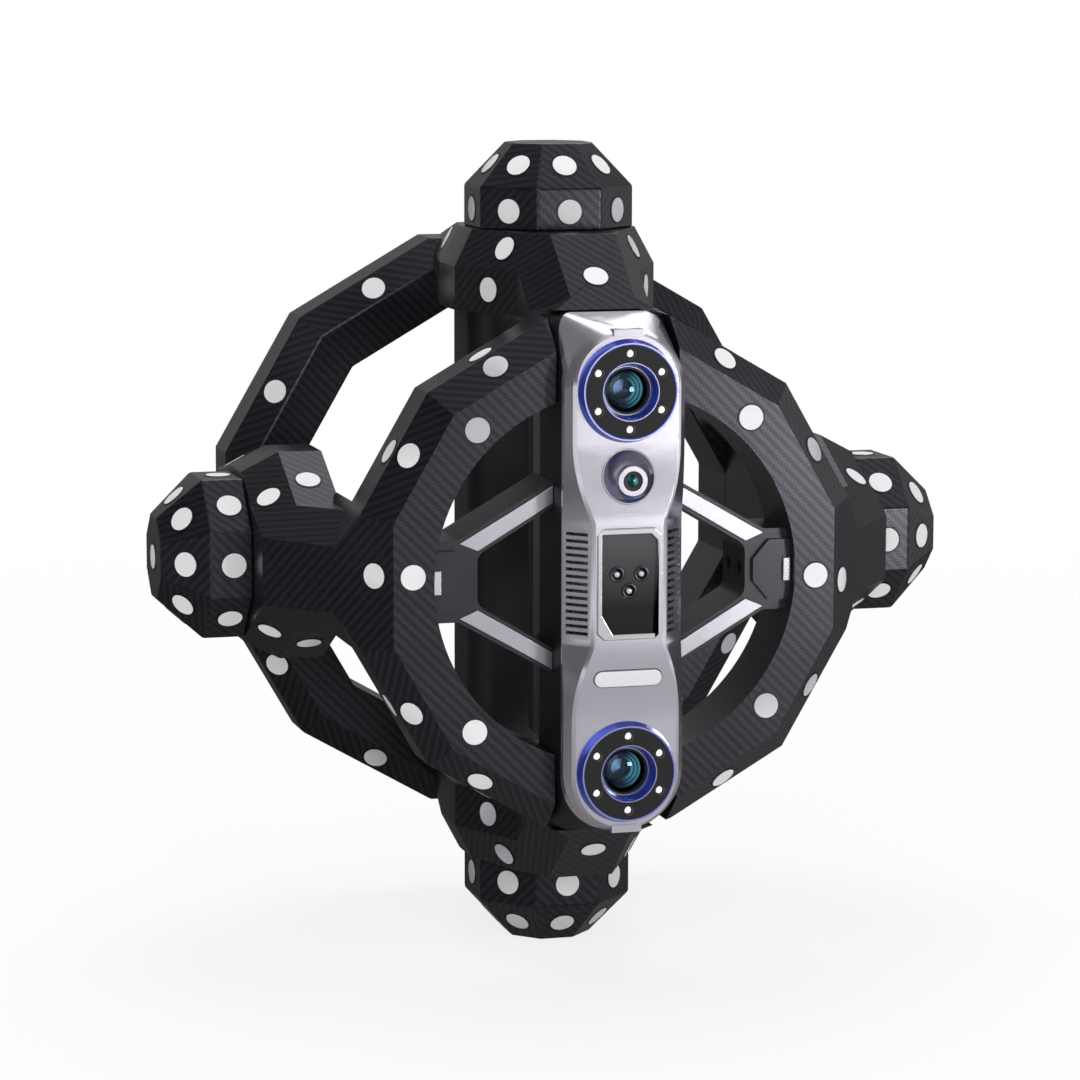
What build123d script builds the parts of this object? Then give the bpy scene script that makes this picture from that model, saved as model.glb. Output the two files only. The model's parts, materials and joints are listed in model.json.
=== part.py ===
from build123d import *
import math
import os

# Handheld tracked scanner: a faceted carbon cage with four marker pods, a camera bar held in the
# front ring and a handle held in the rear ring. Millimetres, +X to the right seen from the front,
# +Y to the back, +Z up. It is drawn about the crossing of the pod axes, then lifted so that the
# lowest pod's end face lies at the origin. Radii "from the centre" run outwards along a pod's axis.

# Marker pods
pod_height = 31.5
pod_cone_height = 16.0
pod_apothem = 29.4
pod_end_apothem = 15.2
pod_sides = 8
pod_wall = 2.5
spigot_radius = 20.0
spigot_length = 5.0
spigot_clearance = 0.1

# Front ring, with twelve facets round a circular opening
ring_sides = 12
front_ring_face_y = -92.0
front_ring_depth = 30.0
front_ring_bore = 67.2
front_ring_face_width = 14.8
front_ring_chamfer_width = 9.3
chamfer_angle = 50.6
cage_wall = 2.5

# Rear ring
rear_ring_front_y = 55.0
rear_ring_depth = 35.5
rear_ring_face_width = 16.5
rear_chamfer_width = 9.5
rear_chamfer_depth = 7.5
rear_ring_step = 4.0

# Bridges that join both rings and carry the pods
shelf_rise = 13.7
shoulder_rise = 16.3
gusset_rise = 1.8
strip_half_width = 12.3
shoulder_half_width = 38.6
shoulder_rear_y = 12.0
flank_angle = 26.6
rear_flank_angle = 11.3
flare_angle = 27.6
rear_strip_start_y = 30.0
rear_strip_angle = 9.1
rear_lap = 17.0
gusset_half_width = 26.5
gusset_length = 26.0
wedge_half_width = 23.0

# Reflecting marker dots, stuck on the facets
dot_radius = 4.5
dot_rim_radius = 5.2
dot_thickness = 0.15
pod_dot_height = 7.0
face_dot_inset = 7.8
face_dot_angles = (-41.0, -1.6, 48.4, 133.4, 177.7, 225.5)
chamfer_dot_inset = 5.4
chamfer_dot_shifts = (-5.2, -0.9, 2.1, None, -0.6, -1.9, -3.1, 3.6, -5.9, None, -1.3, 0.1)
wall_dot_from_back = 12.0
strip_dot_drop = 0.4
flare_dot_rise = 7.6
flare_dot_along = 21.0
flank_dot_drop = 7.5
flank_dot_along = 25.5
rear_dot_along = 24.0

# Camera bar
bar_half_width = 22.2
bar_ring_lap = 12.0
bar_front_y = -104.0
bar_front_shell_depth = 7.0
bar_rear_shell_depth = 28.5
bar_slope_depth = 26.0
bar_corner = 9.0
bar_wall = 2.2
bar_face_inset = 3.6
bar_face_end_inset = 5.6
bar_edge_depth = 0.9
bar_edge_inset = 2.3
bar_edge_end_inset = 4.9
bar_flank_depth = 3.8
bar_flank_end_inset = 3.8
bar_end_gap = 0.3
lug_width = 11.0
lug_height = 2.6
lug_rise = 1.2
lug_inset = 4.0
notch_clearance = 0.6
notch_corner = 2.2
seat_clearance = 0.05
waist_rise = 3.0
waist_half_width = 12.4
waist_flank_depth = 6.6
waist_margin = 2.1
waist_end_gap = 0.3
waist_steps = 6

# Aluminium chassis and back cover behind the bar
chassis_depth = 8.5
chassis_wall = 3.0
chassis_corner = 3.0
chassis_ring_gap = 1.2
back_cover_depth = 10.0
back_cover_round = 4.0
exhaust_count = 7
exhaust_width = 22.0
exhaust_slot = 2.0
exhaust_pitch = 4.0

# Side vents on the waist
vent_count = 15
vent_pitch = 2.53
vent_length = 9.0
vent_slot = 1.1
vent_cut_depth = 12.0

# Stereo cameras with their light rings
camera_inset = 25.8
bezel_radius = 17.3
bezel_flare = 1.05
bezel_front_y = -108.0
bezel_back_y = -98.0
bezel_wall = 0.8
bezel_cup_radius = 9.9
bezel_cup_wall = 0.5
led_disc_thickness = 2.4
led_disc_gap = 0.1
bezel_web = 1.4
led_count = 6
led_circle = 13.4
led_hole_radius = 1.75
led_radius = 1.3
led_base = 0.4
barrel_radius = 8.8
barrel_wall = 1.05
barrel_front_y = -103.2
lens_recess = 1.0
lens_edge = 1.6
lens_dome = 2.0
barrel_stop = 1.2
sensor_board_side = 30.0
board_thickness = 1.6
sensor_board_y = -90.0
board_post_radius = 2.0
board_post_inset = 3.5

# Texture camera in its polished dish
dish_drop = 30.2
dish_radius = 9.8
dish_lip = 0.5
dish_depth = 4.0
dish_front = 0.3
dish_length = 8.0
texture_offset_x = 1.7
texture_offset_z = -1.7
texture_barrel_radius = 5.3
texture_barrel_wall = 1.7
texture_barrel_rise = 0.2
texture_barrel_length = 11.4
texture_lens_recess = 0.8
texture_lens_thickness = 2.0

# Laser projector
frame_width = 23.7
frame_height = 39.8
frame_front_y = -108.0
frame_back_y = -99.0
frame_corner = 2.5
frame_stile = 1.65
frame_rail = 2.1
panel_recess = 1.4
panel_thickness = 1.5
panel_ledge = 1.0
panel_corner_right = 2.5
panel_corner_left_x = 4.0
panel_corner_left_z = 7.0
laser_lens_radius = 2.8
laser_spread = 4.5
laser_upper_z = 3.5
laser_lower_z = -2.5
laser_module_radius = 3.0
laser_fit = 0.05
laser_gap = 0.2

# Cooling
sink_width = 34.0
sink_height = 40.0
sink_front_y = -88.0
sink_base = 3.0
fin_count = 8
fin_thickness = 1.2
air_hole_radius = 13.0
fan_side = 30.0
fan_depth = 8.0
fan_bore = 14.2
fan_hub_radius = 5.5
fan_hub_disc = 1.2
fan_shaft_radius = 1.0
fan_running_gap = 0.05
fan_axial_gap = 0.5
fan_tip_gap = 0.8
fan_spoke = 2.0
blade_count = 7
blade_thickness = 0.8
blade_pitch = 35.0
main_board_gap = 0.7
main_board_margin = 7.0
main_post_length = 2.0
fan_board_gap = 0.5

# Blank name plate
plate_width = 24.8
plate_height = 5.8
plate_thickness = 1.2
plate_sink = 0.5
plate_gap = 0.35
plate_z = -34.0

# V struts between the front ring and the bar
strut_front_y = -86.0
strut_depth = 25.0
strut_hub_half = 14.8
strut_hub_length = 10.2
strut_web_length = 17.2
strut_window_half = 9.1
strut_arm_top = 34.7
strut_arm_bottom = 25.5
strut_window_round = 5.0
inlay_margin = 1.2
inlay_thickness = 0.8
pad_margin = 2.6
pad_cut = 6.0
pad_nose_half = 4.0
pad_half = 11.0
pad_rise = 1.6
clip_width = 2.8
clip_half = 4.3
clip_rise = 1.2
clip_gap = 0.6

# Screws
strut_screw_radius = 1.5
strut_screw_head_radius = 2.75
strut_screw_head = 3.0
strut_screw_spacing = 12.0
bar_screw_radius = 2.0
bar_screw_head_radius = 3.5
bar_screw_head = 3.5
bar_screw_x = 10.0
bar_screw_inset = 8.0
bar_screw_length = 9.0
cover_screw_radius = 1.25
cover_screw_head_radius = 2.3
cover_screw_head = 1.6
cover_screw_length = 14.0
cover_screw_inset = 5.5
screw_clearance = 0.1

# Handle
handle_width = 36.0
handle_depth = 38.0
handle_centre_y = 61.0
handle_corner = 10.0
handle_wall = 2.5
handle_screw_radius = 1.5
handle_screw_head_radius = 2.75
handle_screw_head = 2.5
handle_screw_top_inset = 15.5
handle_screw_middle_z = -34.0
handle_screw_bottom_inset = 9.5
handle_screw_grip = 12.0
handle_boss_wall = 2.0

# Key panel and buttons on the back of the handle
panel_plate_width = 16.0
panel_plate_bottom = -14.0
panel_plate_top = 52.0
panel_plate_thickness = 1.6
panel_plate_sink = 1.4
scan_button_radius = 6.0
small_button_radius = 4.0
scan_button_z = 41.0
plus_button_z = 23.5
minus_button_z = 10.5
mode_button_z = -4.0
button_clearance = 0.3
button_rise = 1.4
button_flange = 1.0
button_flange_thickness = 1.5
button_flange_gap = 0.3
button_travel = 1.0
button_stop_gap = 0.2
switch_radius = 2.0
switch_height = 0.7
key_board_width = 15.0

# Cable socket
socket_z = -60.0
socket_radius = 7.0
socket_flange_radius = 8.5
socket_flange = 2.0
socket_bore = 5.0
socket_bore_depth = 8.0
socket_insert = 3.0
socket_step = 0.5
contact_radius = 0.6
contact_circle = 3.0
contact_count = 6

# Values that follow from the sizes above
full_turn_angle = 360.0
front_ring_face_apothem = front_ring_bore + front_ring_face_width
front_ring_apothem = front_ring_face_apothem + front_ring_chamfer_width
bridge_inner_radius = front_ring_apothem - gusset_rise
shoulder_radius = bridge_inner_radius + shoulder_rise
shelf_radius = shoulder_radius + shelf_rise
pod_reach = shelf_radius + pod_height
rear_ring_inner_apothem = bridge_inner_radius - rear_ring_step
rear_ring_face_apothem = rear_ring_inner_apothem + rear_ring_face_width
rear_ring_apothem = rear_ring_face_apothem + rear_chamfer_width
face_dot_circle = front_ring_bore + face_dot_inset
chamfer_dot_circle = front_ring_face_apothem + chamfer_dot_inset
strip_dot_radius = shoulder_radius - strip_dot_drop
flare_dot_radius = shoulder_radius + flare_dot_rise
flank_dot_radius = shoulder_radius - flank_dot_drop
bar_half_height = front_ring_face_apothem + bar_ring_lap
camera_height = bar_half_height - camera_inset
dish_height = camera_height - dish_drop
bar_screw_z = bar_half_height - bar_screw_inset
strut_hub_x = front_ring_bore - strut_hub_length
strut_window_x = front_ring_bore - strut_web_length
panel_width = frame_width - 2 * frame_stile
panel_height = frame_height - 2 * frame_rail
main_board_width = 2 * (bar_half_width - chassis_wall - main_board_gap)
waist_start_z = frame_height / 2 + waist_margin
waist_end_z = camera_height - bezel_radius - bezel_flare - waist_end_gap
slope_back_y = bar_front_y + bar_slope_depth
pad_front_y = strut_front_y - pad_rise
front_ring_back_y = front_ring_face_y + front_ring_depth
rear_ring_back_y = rear_ring_front_y + rear_ring_depth
bridge_rear_y = rear_ring_front_y + rear_lap
bar_seam_y = bar_front_y + bar_front_shell_depth
bar_back_y = bar_seam_y + bar_rear_shell_depth
chassis_back_y = bar_back_y + chassis_depth
cover_back_y = chassis_back_y + back_cover_depth
chassis_half_height = math.sqrt(front_ring_bore ** 2 - bar_half_width ** 2) - chassis_ring_gap
plate_floor_y = bar_back_y + chassis_wall
strut_back_y = strut_front_y + strut_depth
panel_front_y = frame_front_y + panel_recess
panel_back_y = panel_front_y + panel_thickness
handle_half_height = bridge_inner_radius - seat_clearance
handle_screw_heights = (handle_half_height - handle_screw_top_inset, handle_screw_middle_z,
                        handle_screw_bottom_inset - handle_half_height)
handle_front_y = handle_centre_y - handle_depth / 2
handle_back_y = handle_centre_y + handle_depth / 2
handle_inner_back_y = handle_back_y - handle_wall
flange_front_y = handle_inner_back_y - button_flange_gap - button_flange_thickness
key_board_front_y = flange_front_y - button_travel - button_stop_gap - switch_height
pod_shoulder = pod_reach - pod_cone_height
pod_cone_run = pod_apothem - pod_end_apothem
laser_places = ((-laser_spread, laser_upper_z), (laser_spread, laser_upper_z), (0.0, laser_lower_z))
cage_sides = {"top": 0.0, "right": 90.0, "bottom": 180.0, "left": 270.0}
camera_sides = {"upper": camera_height, "lower": -camera_height}
small_buttons = {"plus": plus_button_z, "minus": minus_button_z, "mode": mode_button_z}


def cosine(angle):
    return math.cos(math.radians(angle))


def sine(angle):
    return math.sin(math.radians(angle))


def tangent(angle):
    return math.tan(math.radians(angle))


def convex(planes, inset=0.0):
    """The body inside every plane, each given as a point and an outward normal, drawn in by inset."""
    body = Box(4 * pod_reach, 4 * pod_reach, 4 * pod_reach)
    for point, normal in planes:
        direction = Vector(*normal).normalized()
        origin = Vector(*point) - direction * inset
        body = split(body, bisect_by=Plane(origin=origin, z_dir=direction), keep=Keep.BOTTOM)
    return body


def block(x_span, y_span, z_span):
    """A box between two values on each axis."""
    spans = (x_span, y_span, z_span)
    centre = [(low + high) / 2 for low, high in spans]
    return Pos(*centre) * Box(*[high - low for low, high in spans])


def rod(radius, y_front, y_back, x=0.0, z=0.0):
    """A cylinder along Y."""
    return Pos(x, (y_front + y_back) / 2, z) * Rot(90, 0, 0) * Cylinder(radius, y_back - y_front)


def taper(front_radius, back_radius, y_front, y_back, x=0.0, z=0.0):
    """A cone along Y."""
    cone = Cone(back_radius, front_radius, y_back - y_front)
    return Pos(x, (y_front + y_back) / 2, z) * Rot(90, 0, 0) * cone


def tube(radius, inner, y_front, y_back, x=0.0, z=0.0):
    return rod(radius, y_front, y_back, x, z) - rod(inner, y_front, y_back, x, z)


def front_plane(y):
    """Drawing plane at this depth, with X to the right and Z up, facing the front."""
    return Plane(origin=(0, y, 0), x_dir=(1, 0, 0), z_dir=(0, -1, 0))


def slab(sketch, y_front, y_back):
    """A flat outline drawn in X and Z, given its depth along Y."""
    return extrude(front_plane(y_back) * sketch, amount=y_back - y_front)


def ring_direction(angle):
    """Outward direction in the ring's plane, with 0 degrees to the right and 90 up."""
    return (cosine(angle), 0.0, sine(angle))


def on_ring(angle, radius, y, shift=0.0):
    """A point at a radius on the ring's axis system, moved sideways along the facet by shift."""
    x, _, z = ring_direction(angle)
    return (radius * x - shift * z, y, radius * z + shift * x)


def tilted(angle, lean, towards):
    """Normal that leans from straight ahead (towards = -1) or back (1) out along the ring's radius."""
    x, _, z = ring_direction(angle)
    return (sine(lean) * x, towards * cosine(lean), sine(lean) * z)


def ring_angles(cardinal):
    """Facet directions: those on the pod axes or those between them."""
    step = full_turn_angle / ring_sides
    angles = [index * step for index in range(ring_sides)]
    return [angle for angle in angles if (abs(angle % 90.0) < 1e-6) == cardinal]


def all_ring_angles():
    return ring_angles(True) + ring_angles(False)


def front_ring_planes():
    """Flat face, chamfer facets all round, and side walls between the pod axes."""
    planes = [((0, front_ring_face_y, 0), (0, -1, 0)), ((0, front_ring_back_y, 0), (0, 1, 0))]
    for angle in all_ring_angles():
        edge = on_ring(angle, front_ring_face_apothem, front_ring_face_y)
        planes.append((edge, tilted(angle, chamfer_angle, -1)))
    for angle in ring_angles(False):
        planes.append((on_ring(angle, front_ring_apothem, 0), ring_direction(angle)))
    return planes


def notch_tool(grow=0.0):
    """The channel that the bar lies in, where it crosses the ring at top and bottom."""
    half_width = bar_half_width + notch_clearance + grow
    half_height = bar_half_height + notch_clearance + grow
    outline = RectangleRounded(2 * half_width, 2 * half_height, notch_corner + grow)
    return slab(outline, 2 * bar_front_y, bar_back_y + seat_clearance + grow)


def bar_screw_places():
    return [(x, z) for x in (-bar_screw_x, bar_screw_x) for z in (-bar_screw_z, bar_screw_z)]


def strut_screw_depths():
    middle = (strut_front_y + strut_back_y) / 2
    return [middle - strut_screw_spacing / 2, middle + strut_screw_spacing / 2]


def strut_screw_bore(radius, x_start, x_end):
    """Sideways holes for both struts' screws."""
    length = x_end - x_start
    tools = Part()
    for side in (-1, 1):
        for y in strut_screw_depths():
            centre = side * (x_start + length / 2)
            tools += Pos(centre, y, 0) * Rot(0, 90, 0) * Cylinder(radius, length)
    return tools


def front_ring():
    planes = front_ring_planes()
    ring = convex(planes) - rod(front_ring_bore, front_ring_face_y, front_ring_back_y) - notch_tool()
    hollow = convex(planes, cage_wall)
    hollow -= rod(front_ring_bore + cage_wall, front_ring_face_y, front_ring_back_y)
    hollow -= notch_tool(cage_wall)
    ring -= hollow
    for x, z in bar_screw_places():
        ring -= rod(bar_screw_radius + screw_clearance, bar_back_y, front_ring_back_y, x, z)
    screw_end = front_ring_bore + 2 * cage_wall
    return ring - strut_screw_bore(strut_screw_radius + screw_clearance, front_ring_bore / 2, screw_end)


def rear_ring_planes():
    planes = [((0, rear_ring_front_y, 0), (0, -1, 0)), ((0, rear_ring_back_y, 0), (0, 1, 0))]
    width = rear_ring_apothem - rear_ring_face_apothem
    lean = math.degrees(math.atan2(rear_chamfer_depth, width))
    for angle in all_ring_angles():
        front_edge = on_ring(angle, rear_ring_face_apothem, rear_ring_front_y)
        back_edge = on_ring(angle, rear_ring_face_apothem, rear_ring_back_y)
        planes.append((front_edge, tilted(angle, lean, -1)))
        planes.append((back_edge, tilted(angle, lean, 1)))
        planes.append((on_ring(angle, rear_ring_apothem, 0), ring_direction(angle)))
    return planes


def rear_opening(grow=0.0):
    """Faceted hole through the rear ring, level with the bridges' inner faces on the pod axes."""
    planes = []
    for angle in ring_angles(True):
        planes.append((on_ring(angle, bridge_inner_radius + grow, 0), ring_direction(angle)))
    for angle in ring_angles(False):
        planes.append((on_ring(angle, rear_ring_inner_apothem + grow, 0), ring_direction(angle)))
    return convex(planes)


def rear_ring():
    planes = rear_ring_planes()
    hollow = convex(planes, cage_wall) - rear_opening(cage_wall)
    return convex(planes) - rear_opening() - hollow


def strip_y(radius):
    """Depth of the front strip's plane, which carries on the ring's chamfer, at a radius."""
    return front_ring_face_y + (radius - front_ring_face_apothem) * tangent(chamfer_angle)


def flank_normal(side):
    return (side * cosine(flank_angle), -sine(flank_angle), 0.0)


def rear_flank_normal(side):
    return (side * cosine(rear_flank_angle), sine(rear_flank_angle), 0.0)


def flared(normal):
    """A flank's normal leaned upwards by the flare."""
    return (normal[0] * cosine(flare_angle), normal[1] * cosine(flare_angle), sine(flare_angle))


def flank_foot(side):
    """Where the front flare's edge at the strip comes out at shoulder height."""
    spread = (shelf_radius - shoulder_radius) * tangent(flare_angle)
    normal = flank_normal(side)
    x = side * strip_half_width + spread * normal[0]
    return (x, strip_y(shelf_radius) + spread * normal[1], shoulder_radius)


def rear_flank_foot(side):
    return (side * shoulder_half_width, shoulder_rear_y, shoulder_radius)


def bridge_planes():
    """The top bridge: shelf, inner face, front strip, flares above the shoulder, flanks below."""
    planes = [((0, 0, shelf_radius), (0, 0, 1)), ((0, 0, bridge_inner_radius), (0, 0, -1))]
    planes.append(((0, strip_y(shelf_radius), shelf_radius), tilted(90.0, chamfer_angle, -1)))
    rear_rise = (0, sine(rear_strip_angle), cosine(rear_strip_angle))
    planes.append(((0, rear_strip_start_y, shelf_radius), rear_rise))
    planes.append(((0, bridge_rear_y, 0), (0, 1, 0)))
    for side in (-1, 1):
        planes.append((flank_foot(side), flank_normal(side)))
        planes.append((flank_foot(side), flared(flank_normal(side))))
        planes.append((rear_flank_foot(side), rear_flank_normal(side)))
        planes.append((rear_flank_foot(side), flared(rear_flank_normal(side))))
        planes.append((rear_flank_foot(side), (side, 0, 0)))
        planes.append((rear_flank_foot(side), flared((side, 0, 0))))
    return planes


def gusset():
    """Web that carries the ring's side walls back under the top bridge."""
    planes = [((0, 0, bridge_inner_radius), (0, 0, -1)), ((0, front_ring_back_y, 0), (0, -1, 0))]
    planes.append(((0, front_ring_back_y + gusset_length, 0), (0, 1, 0)))
    for angle in ring_angles(False):
        if angle < 180.0:
            planes.append((on_ring(angle, front_ring_apothem, 0), ring_direction(angle)))
    for side in (-1, 1):
        planes.append(((side * gusset_half_width, 0, 0), (side, 0, 0)))
    return convex(planes)


def wedge():
    """Front corners of the top bridge: the strip and flares carried on below the shoulder to the ring."""
    planes = [((0, 0, shelf_radius), (0, 0, 1)), ((0, 0, bridge_inner_radius), (0, 0, -1))]
    planes.append(((0, strip_y(shelf_radius), shelf_radius), tilted(90.0, chamfer_angle, -1)))
    planes.append(((0, front_ring_back_y + gusset_length, 0), (0, 1, 0)))
    for side in (-1, 1):
        planes.append((flank_foot(side), flared(flank_normal(side))))
        planes.append(((side * wedge_half_width, 0, 0), (side, 0, 0)))
    return convex(planes)


def top_bridge(front_blank, rear_blank):
    planes = bridge_planes()
    body = (convex(planes) + gusset() + wedge()) - front_blank - rear_blank
    hollow = convex(planes, cage_wall)
    span = (front_ring_back_y + cage_wall, rear_ring_front_y - cage_wall)
    reach = (-2 * shoulder_half_width, 2 * shoulder_half_width)
    hollow &= block(reach, span, (0, pod_reach))
    hole_radius = spigot_radius + spigot_clearance
    return body - hollow - Pos(0, 0, shelf_radius) * Cylinder(hole_radius, 2 * spigot_length)


def pod_cone_normal(x, y):
    return (pod_cone_height * x, pod_cone_height * y, pod_cone_run)


def pod_planes():
    planes = [((0, 0, shelf_radius), (0, 0, -1)), ((0, 0, pod_reach), (0, 0, 1))]
    for index in range(pod_sides):
        x, _, y = ring_direction(index * full_turn_angle / pod_sides)
        planes.append(((pod_apothem * x, pod_apothem * y, 0), (x, y, 0)))
        cone_edge = (pod_end_apothem * x, pod_end_apothem * y, pod_reach)
        planes.append((cone_edge, pod_cone_normal(x, y)))
    return planes


def top_pod():
    planes = pod_planes()
    spigot = Pos(0, 0, shelf_radius - spigot_length / 2) * Cylinder(spigot_radius, spigot_length)
    return convex(planes) - convex(planes, pod_wall) + spigot


def pod_dot_planes():
    """Dots on the prism and cone facets of the top pod."""
    places = []
    cone_middle = (pod_apothem + pod_end_apothem) / 2
    cone_height = (pod_shoulder + pod_reach) / 2
    for index in range(pod_sides):
        x, _, y = ring_direction(index * full_turn_angle / pod_sides)
        side = (pod_apothem * x, pod_apothem * y, shelf_radius + pod_dot_height)
        cone = (cone_middle * x, cone_middle * y, cone_height)
        places.append(Plane(origin=side, z_dir=(x, y, 0)))
        places.append(Plane(origin=cone, z_dir=pod_cone_normal(x, y)))
    return places


def along_facet(foot, normal, along, radius):
    """A point on a flank or its flare, moved back along it and set at a radius from the centre."""
    lean = max(radius - shoulder_radius, 0.0) * tangent(flare_angle)
    x = foot[0] - lean * normal[0] - along * normal[1] * math.copysign(1.0, normal[0])
    y = foot[1] - lean * normal[1] + along * abs(normal[0])
    return (x, y, radius)


def bridge_dot_planes():
    """Dots on the flares and flanks of the top bridge."""
    places = []
    for side in (-1, 1):
        front = flank_normal(side)
        rear = rear_flank_normal(side)
        flare_spot = along_facet(flank_foot(side), front, flare_dot_along, flare_dot_radius)
        flank_spot = along_facet(flank_foot(side), front, flank_dot_along, flank_dot_radius)
        rear_spot = along_facet(rear_flank_foot(side), rear, rear_dot_along, flare_dot_radius)
        places.append(Plane(origin=flare_spot, z_dir=flared(front)))
        places.append(Plane(origin=flank_spot, z_dir=front))
        places.append(Plane(origin=rear_spot, z_dir=flared(rear)))
    return places


def ring_dot_planes():
    """Dots on both rings, on the side pods' end faces and on the strips above and below the bar."""
    places = []
    for angle in face_dot_angles:
        places.append(Plane(origin=on_ring(angle, face_dot_circle, front_ring_face_y), z_dir=(0, -1, 0)))
    for index, shift in enumerate(chamfer_dot_shifts):
        if shift is not None:
            angle = index * full_turn_angle / ring_sides
            spot = on_ring(angle, chamfer_dot_circle, strip_y(chamfer_dot_circle), shift)
            places.append(Plane(origin=spot, z_dir=tilted(angle, chamfer_angle, -1)))
    rear_middle = (rear_ring_apothem + rear_ring_face_apothem) / 2
    lean = math.degrees(math.atan2(rear_chamfer_depth, rear_ring_apothem - rear_ring_face_apothem))
    for angle in ring_angles(False):
        wall_spot = on_ring(angle, front_ring_apothem, front_ring_back_y - wall_dot_from_back)
        front_spot = on_ring(angle, rear_middle, rear_ring_front_y + rear_chamfer_depth / 2)
        back_spot = on_ring(angle, rear_middle, rear_ring_back_y - rear_chamfer_depth / 2)
        places.append(Plane(origin=wall_spot, z_dir=ring_direction(angle)))
        places.append(Plane(origin=front_spot, z_dir=tilted(angle, lean, -1)))
        places.append(Plane(origin=back_spot, z_dir=tilted(angle, lean, 1)))
    for angle in (0.0, 180.0):
        places.append(Plane(origin=on_ring(angle, pod_reach, 0), z_dir=ring_direction(angle)))
    for angle in (90.0, 270.0):
        spot = on_ring(angle, strip_dot_radius, strip_y(strip_dot_radius))
        places.append(Plane(origin=spot, z_dir=tilted(angle, chamfer_angle, -1)))
    return places


def marker_dots():
    """Black backing discs and the reflecting discs on them, as two groups."""
    places = ring_dot_planes()
    for turn in cage_sides.values():
        for plane in pod_dot_planes() + bridge_dot_planes():
            places.append(Plane(Rot(0, turn, 0) * plane.location))
    rim = Pos(0, 0, dot_thickness / 2) * Cylinder(dot_rim_radius, dot_thickness)
    dot = Pos(0, 0, 3 * dot_thickness / 2) * Cylinder(dot_radius, dot_thickness)
    rims = Compound(children=[place * rim for place in places])
    return rims, Compound(children=[place * dot for place in places])


def bar_outline(inset):
    """Square-ended outline at the back of the bar."""
    return RectangleRounded(2 * (bar_half_width - inset), 2 * (bar_half_height - inset), bar_corner - inset)


def round_ended(half_width, half_height):
    """Outline whose ends are nearly full half circles."""
    return RectangleRounded(2 * half_width, 2 * half_height, half_width - bar_end_gap)


def waist_share(z):
    """How far a height has left the waist: 0 beside the projector, 1 from the cameras on."""
    share = (abs(z) - waist_start_z) / (waist_end_z - waist_start_z)
    return min(max(share, 0.0), 1.0)


def face_y(z):
    """Depth of the bar's face, which bows out in a smooth step from the cameras to the waist."""
    share = waist_share(z)
    return bar_front_y - waist_rise * (1 - share ** 2 * (3 - 2 * share))


def face_tilt(z):
    """Turn about X that lays a piece on the bowed face, from the slope of that step."""
    share = waist_share(z)
    slope = 6 * waist_rise * share * (1 - share) / (waist_end_z - waist_start_z)
    return -math.copysign(math.degrees(math.atan(slope)), z)


def on_face(z):
    return Pos(0, face_y(z), z) * Rot(face_tilt(z), 0, 0)


def waist_section(z, inset):
    """The bar's cross-section: flat face, narrow bevel, sloping flanks that are widest at the waist."""
    narrowing = (1 - waist_share(z)) ** 2
    full = bar_half_width - bar_face_inset
    face_half = full - (full - waist_half_width) * narrowing - inset
    edge_half = face_half + bar_face_inset - bar_edge_inset
    front = face_y(z) + inset
    flank_depth = bar_flank_depth + (waist_flank_depth - bar_flank_depth) * narrowing
    flank = (bar_half_width - inset, bar_front_y + flank_depth + inset)
    right = [(face_half, front), (edge_half, front + bar_edge_depth), flank, (flank[0], slope_back_y)]
    left = [(-x, y) for x, y in reversed(right)]
    return Plane.XY.offset(z) * make_face(Polyline(*right, *left, close=True))


def waist(inset):
    """The bar between both cameras, from section to section."""
    step = (waist_end_z - waist_start_z) / waist_steps
    heights = [waist_start_z + index * step for index in range(waist_steps + 1)]
    heights = [-z for z in reversed(heights)] + heights
    return loft([waist_section(z, inset) for z in heights], ruled=True)


def bar_body(inset):
    """The whole bar, drawn in by inset: round-ended bevelled face, sides that open out to the square back."""
    face = round_ended(bar_half_width - bar_face_inset - inset, bar_half_height - bar_face_end_inset - inset)
    edge = round_ended(bar_half_width - bar_edge_inset - inset, bar_half_height - bar_edge_end_inset - inset)
    flank = round_ended(bar_half_width - inset, bar_half_height - bar_flank_end_inset - inset)
    sections = [front_plane(slope_back_y) * bar_outline(inset),
                front_plane(bar_front_y + bar_flank_depth + inset) * flank,
                front_plane(bar_front_y + bar_edge_depth + inset) * edge,
                front_plane(bar_front_y + inset) * face]
    body = loft(sections, ruled=True) + slab(bar_outline(inset), slope_back_y, bar_back_y - inset)
    reach = (-2 * bar_half_width, 2 * bar_half_width)
    return body - block(reach, (2 * bar_front_y, slope_back_y), (-waist_end_z, waist_end_z)) + waist(inset)


def front_zone():
    """Everything before the seam, which runs back at the top so that the front shell wraps over it."""
    reach = 2 * bar_half_height
    zone = block((-reach, reach), (2 * bar_front_y, bar_seam_y), (-reach, reach))
    end_start = bar_half_height - (slope_back_y - bar_seam_y)
    return zone + convex([((0, bar_seam_y, end_start), (0, 1, -1)), ((0, slope_back_y, 0), (0, 1, 0))])


def vent_tools():
    """Rows of slots through the sloping flanks of the waist on both sides."""
    tools = []
    near_x = waist_half_width + bar_face_inset - bar_edge_inset
    near_y = face_y(0.0) + bar_edge_depth
    far_y = bar_front_y + waist_flank_depth
    angle = math.degrees(math.atan2(far_y - near_y, bar_half_width - near_x))
    middle_x = (near_x + bar_half_width) / 2
    middle_y = (near_y + far_y) / 2
    first = -(vent_count - 1) * vent_pitch / 2
    slot = Box(vent_length, vent_cut_depth, vent_slot)
    for side in (-1, 1):
        for index in range(vent_count):
            middle = Pos(side * middle_x, middle_y, first + index * vent_pitch)
            tools.append(middle * Rot(0, 0, side * angle) * slot)
    return tools


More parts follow.
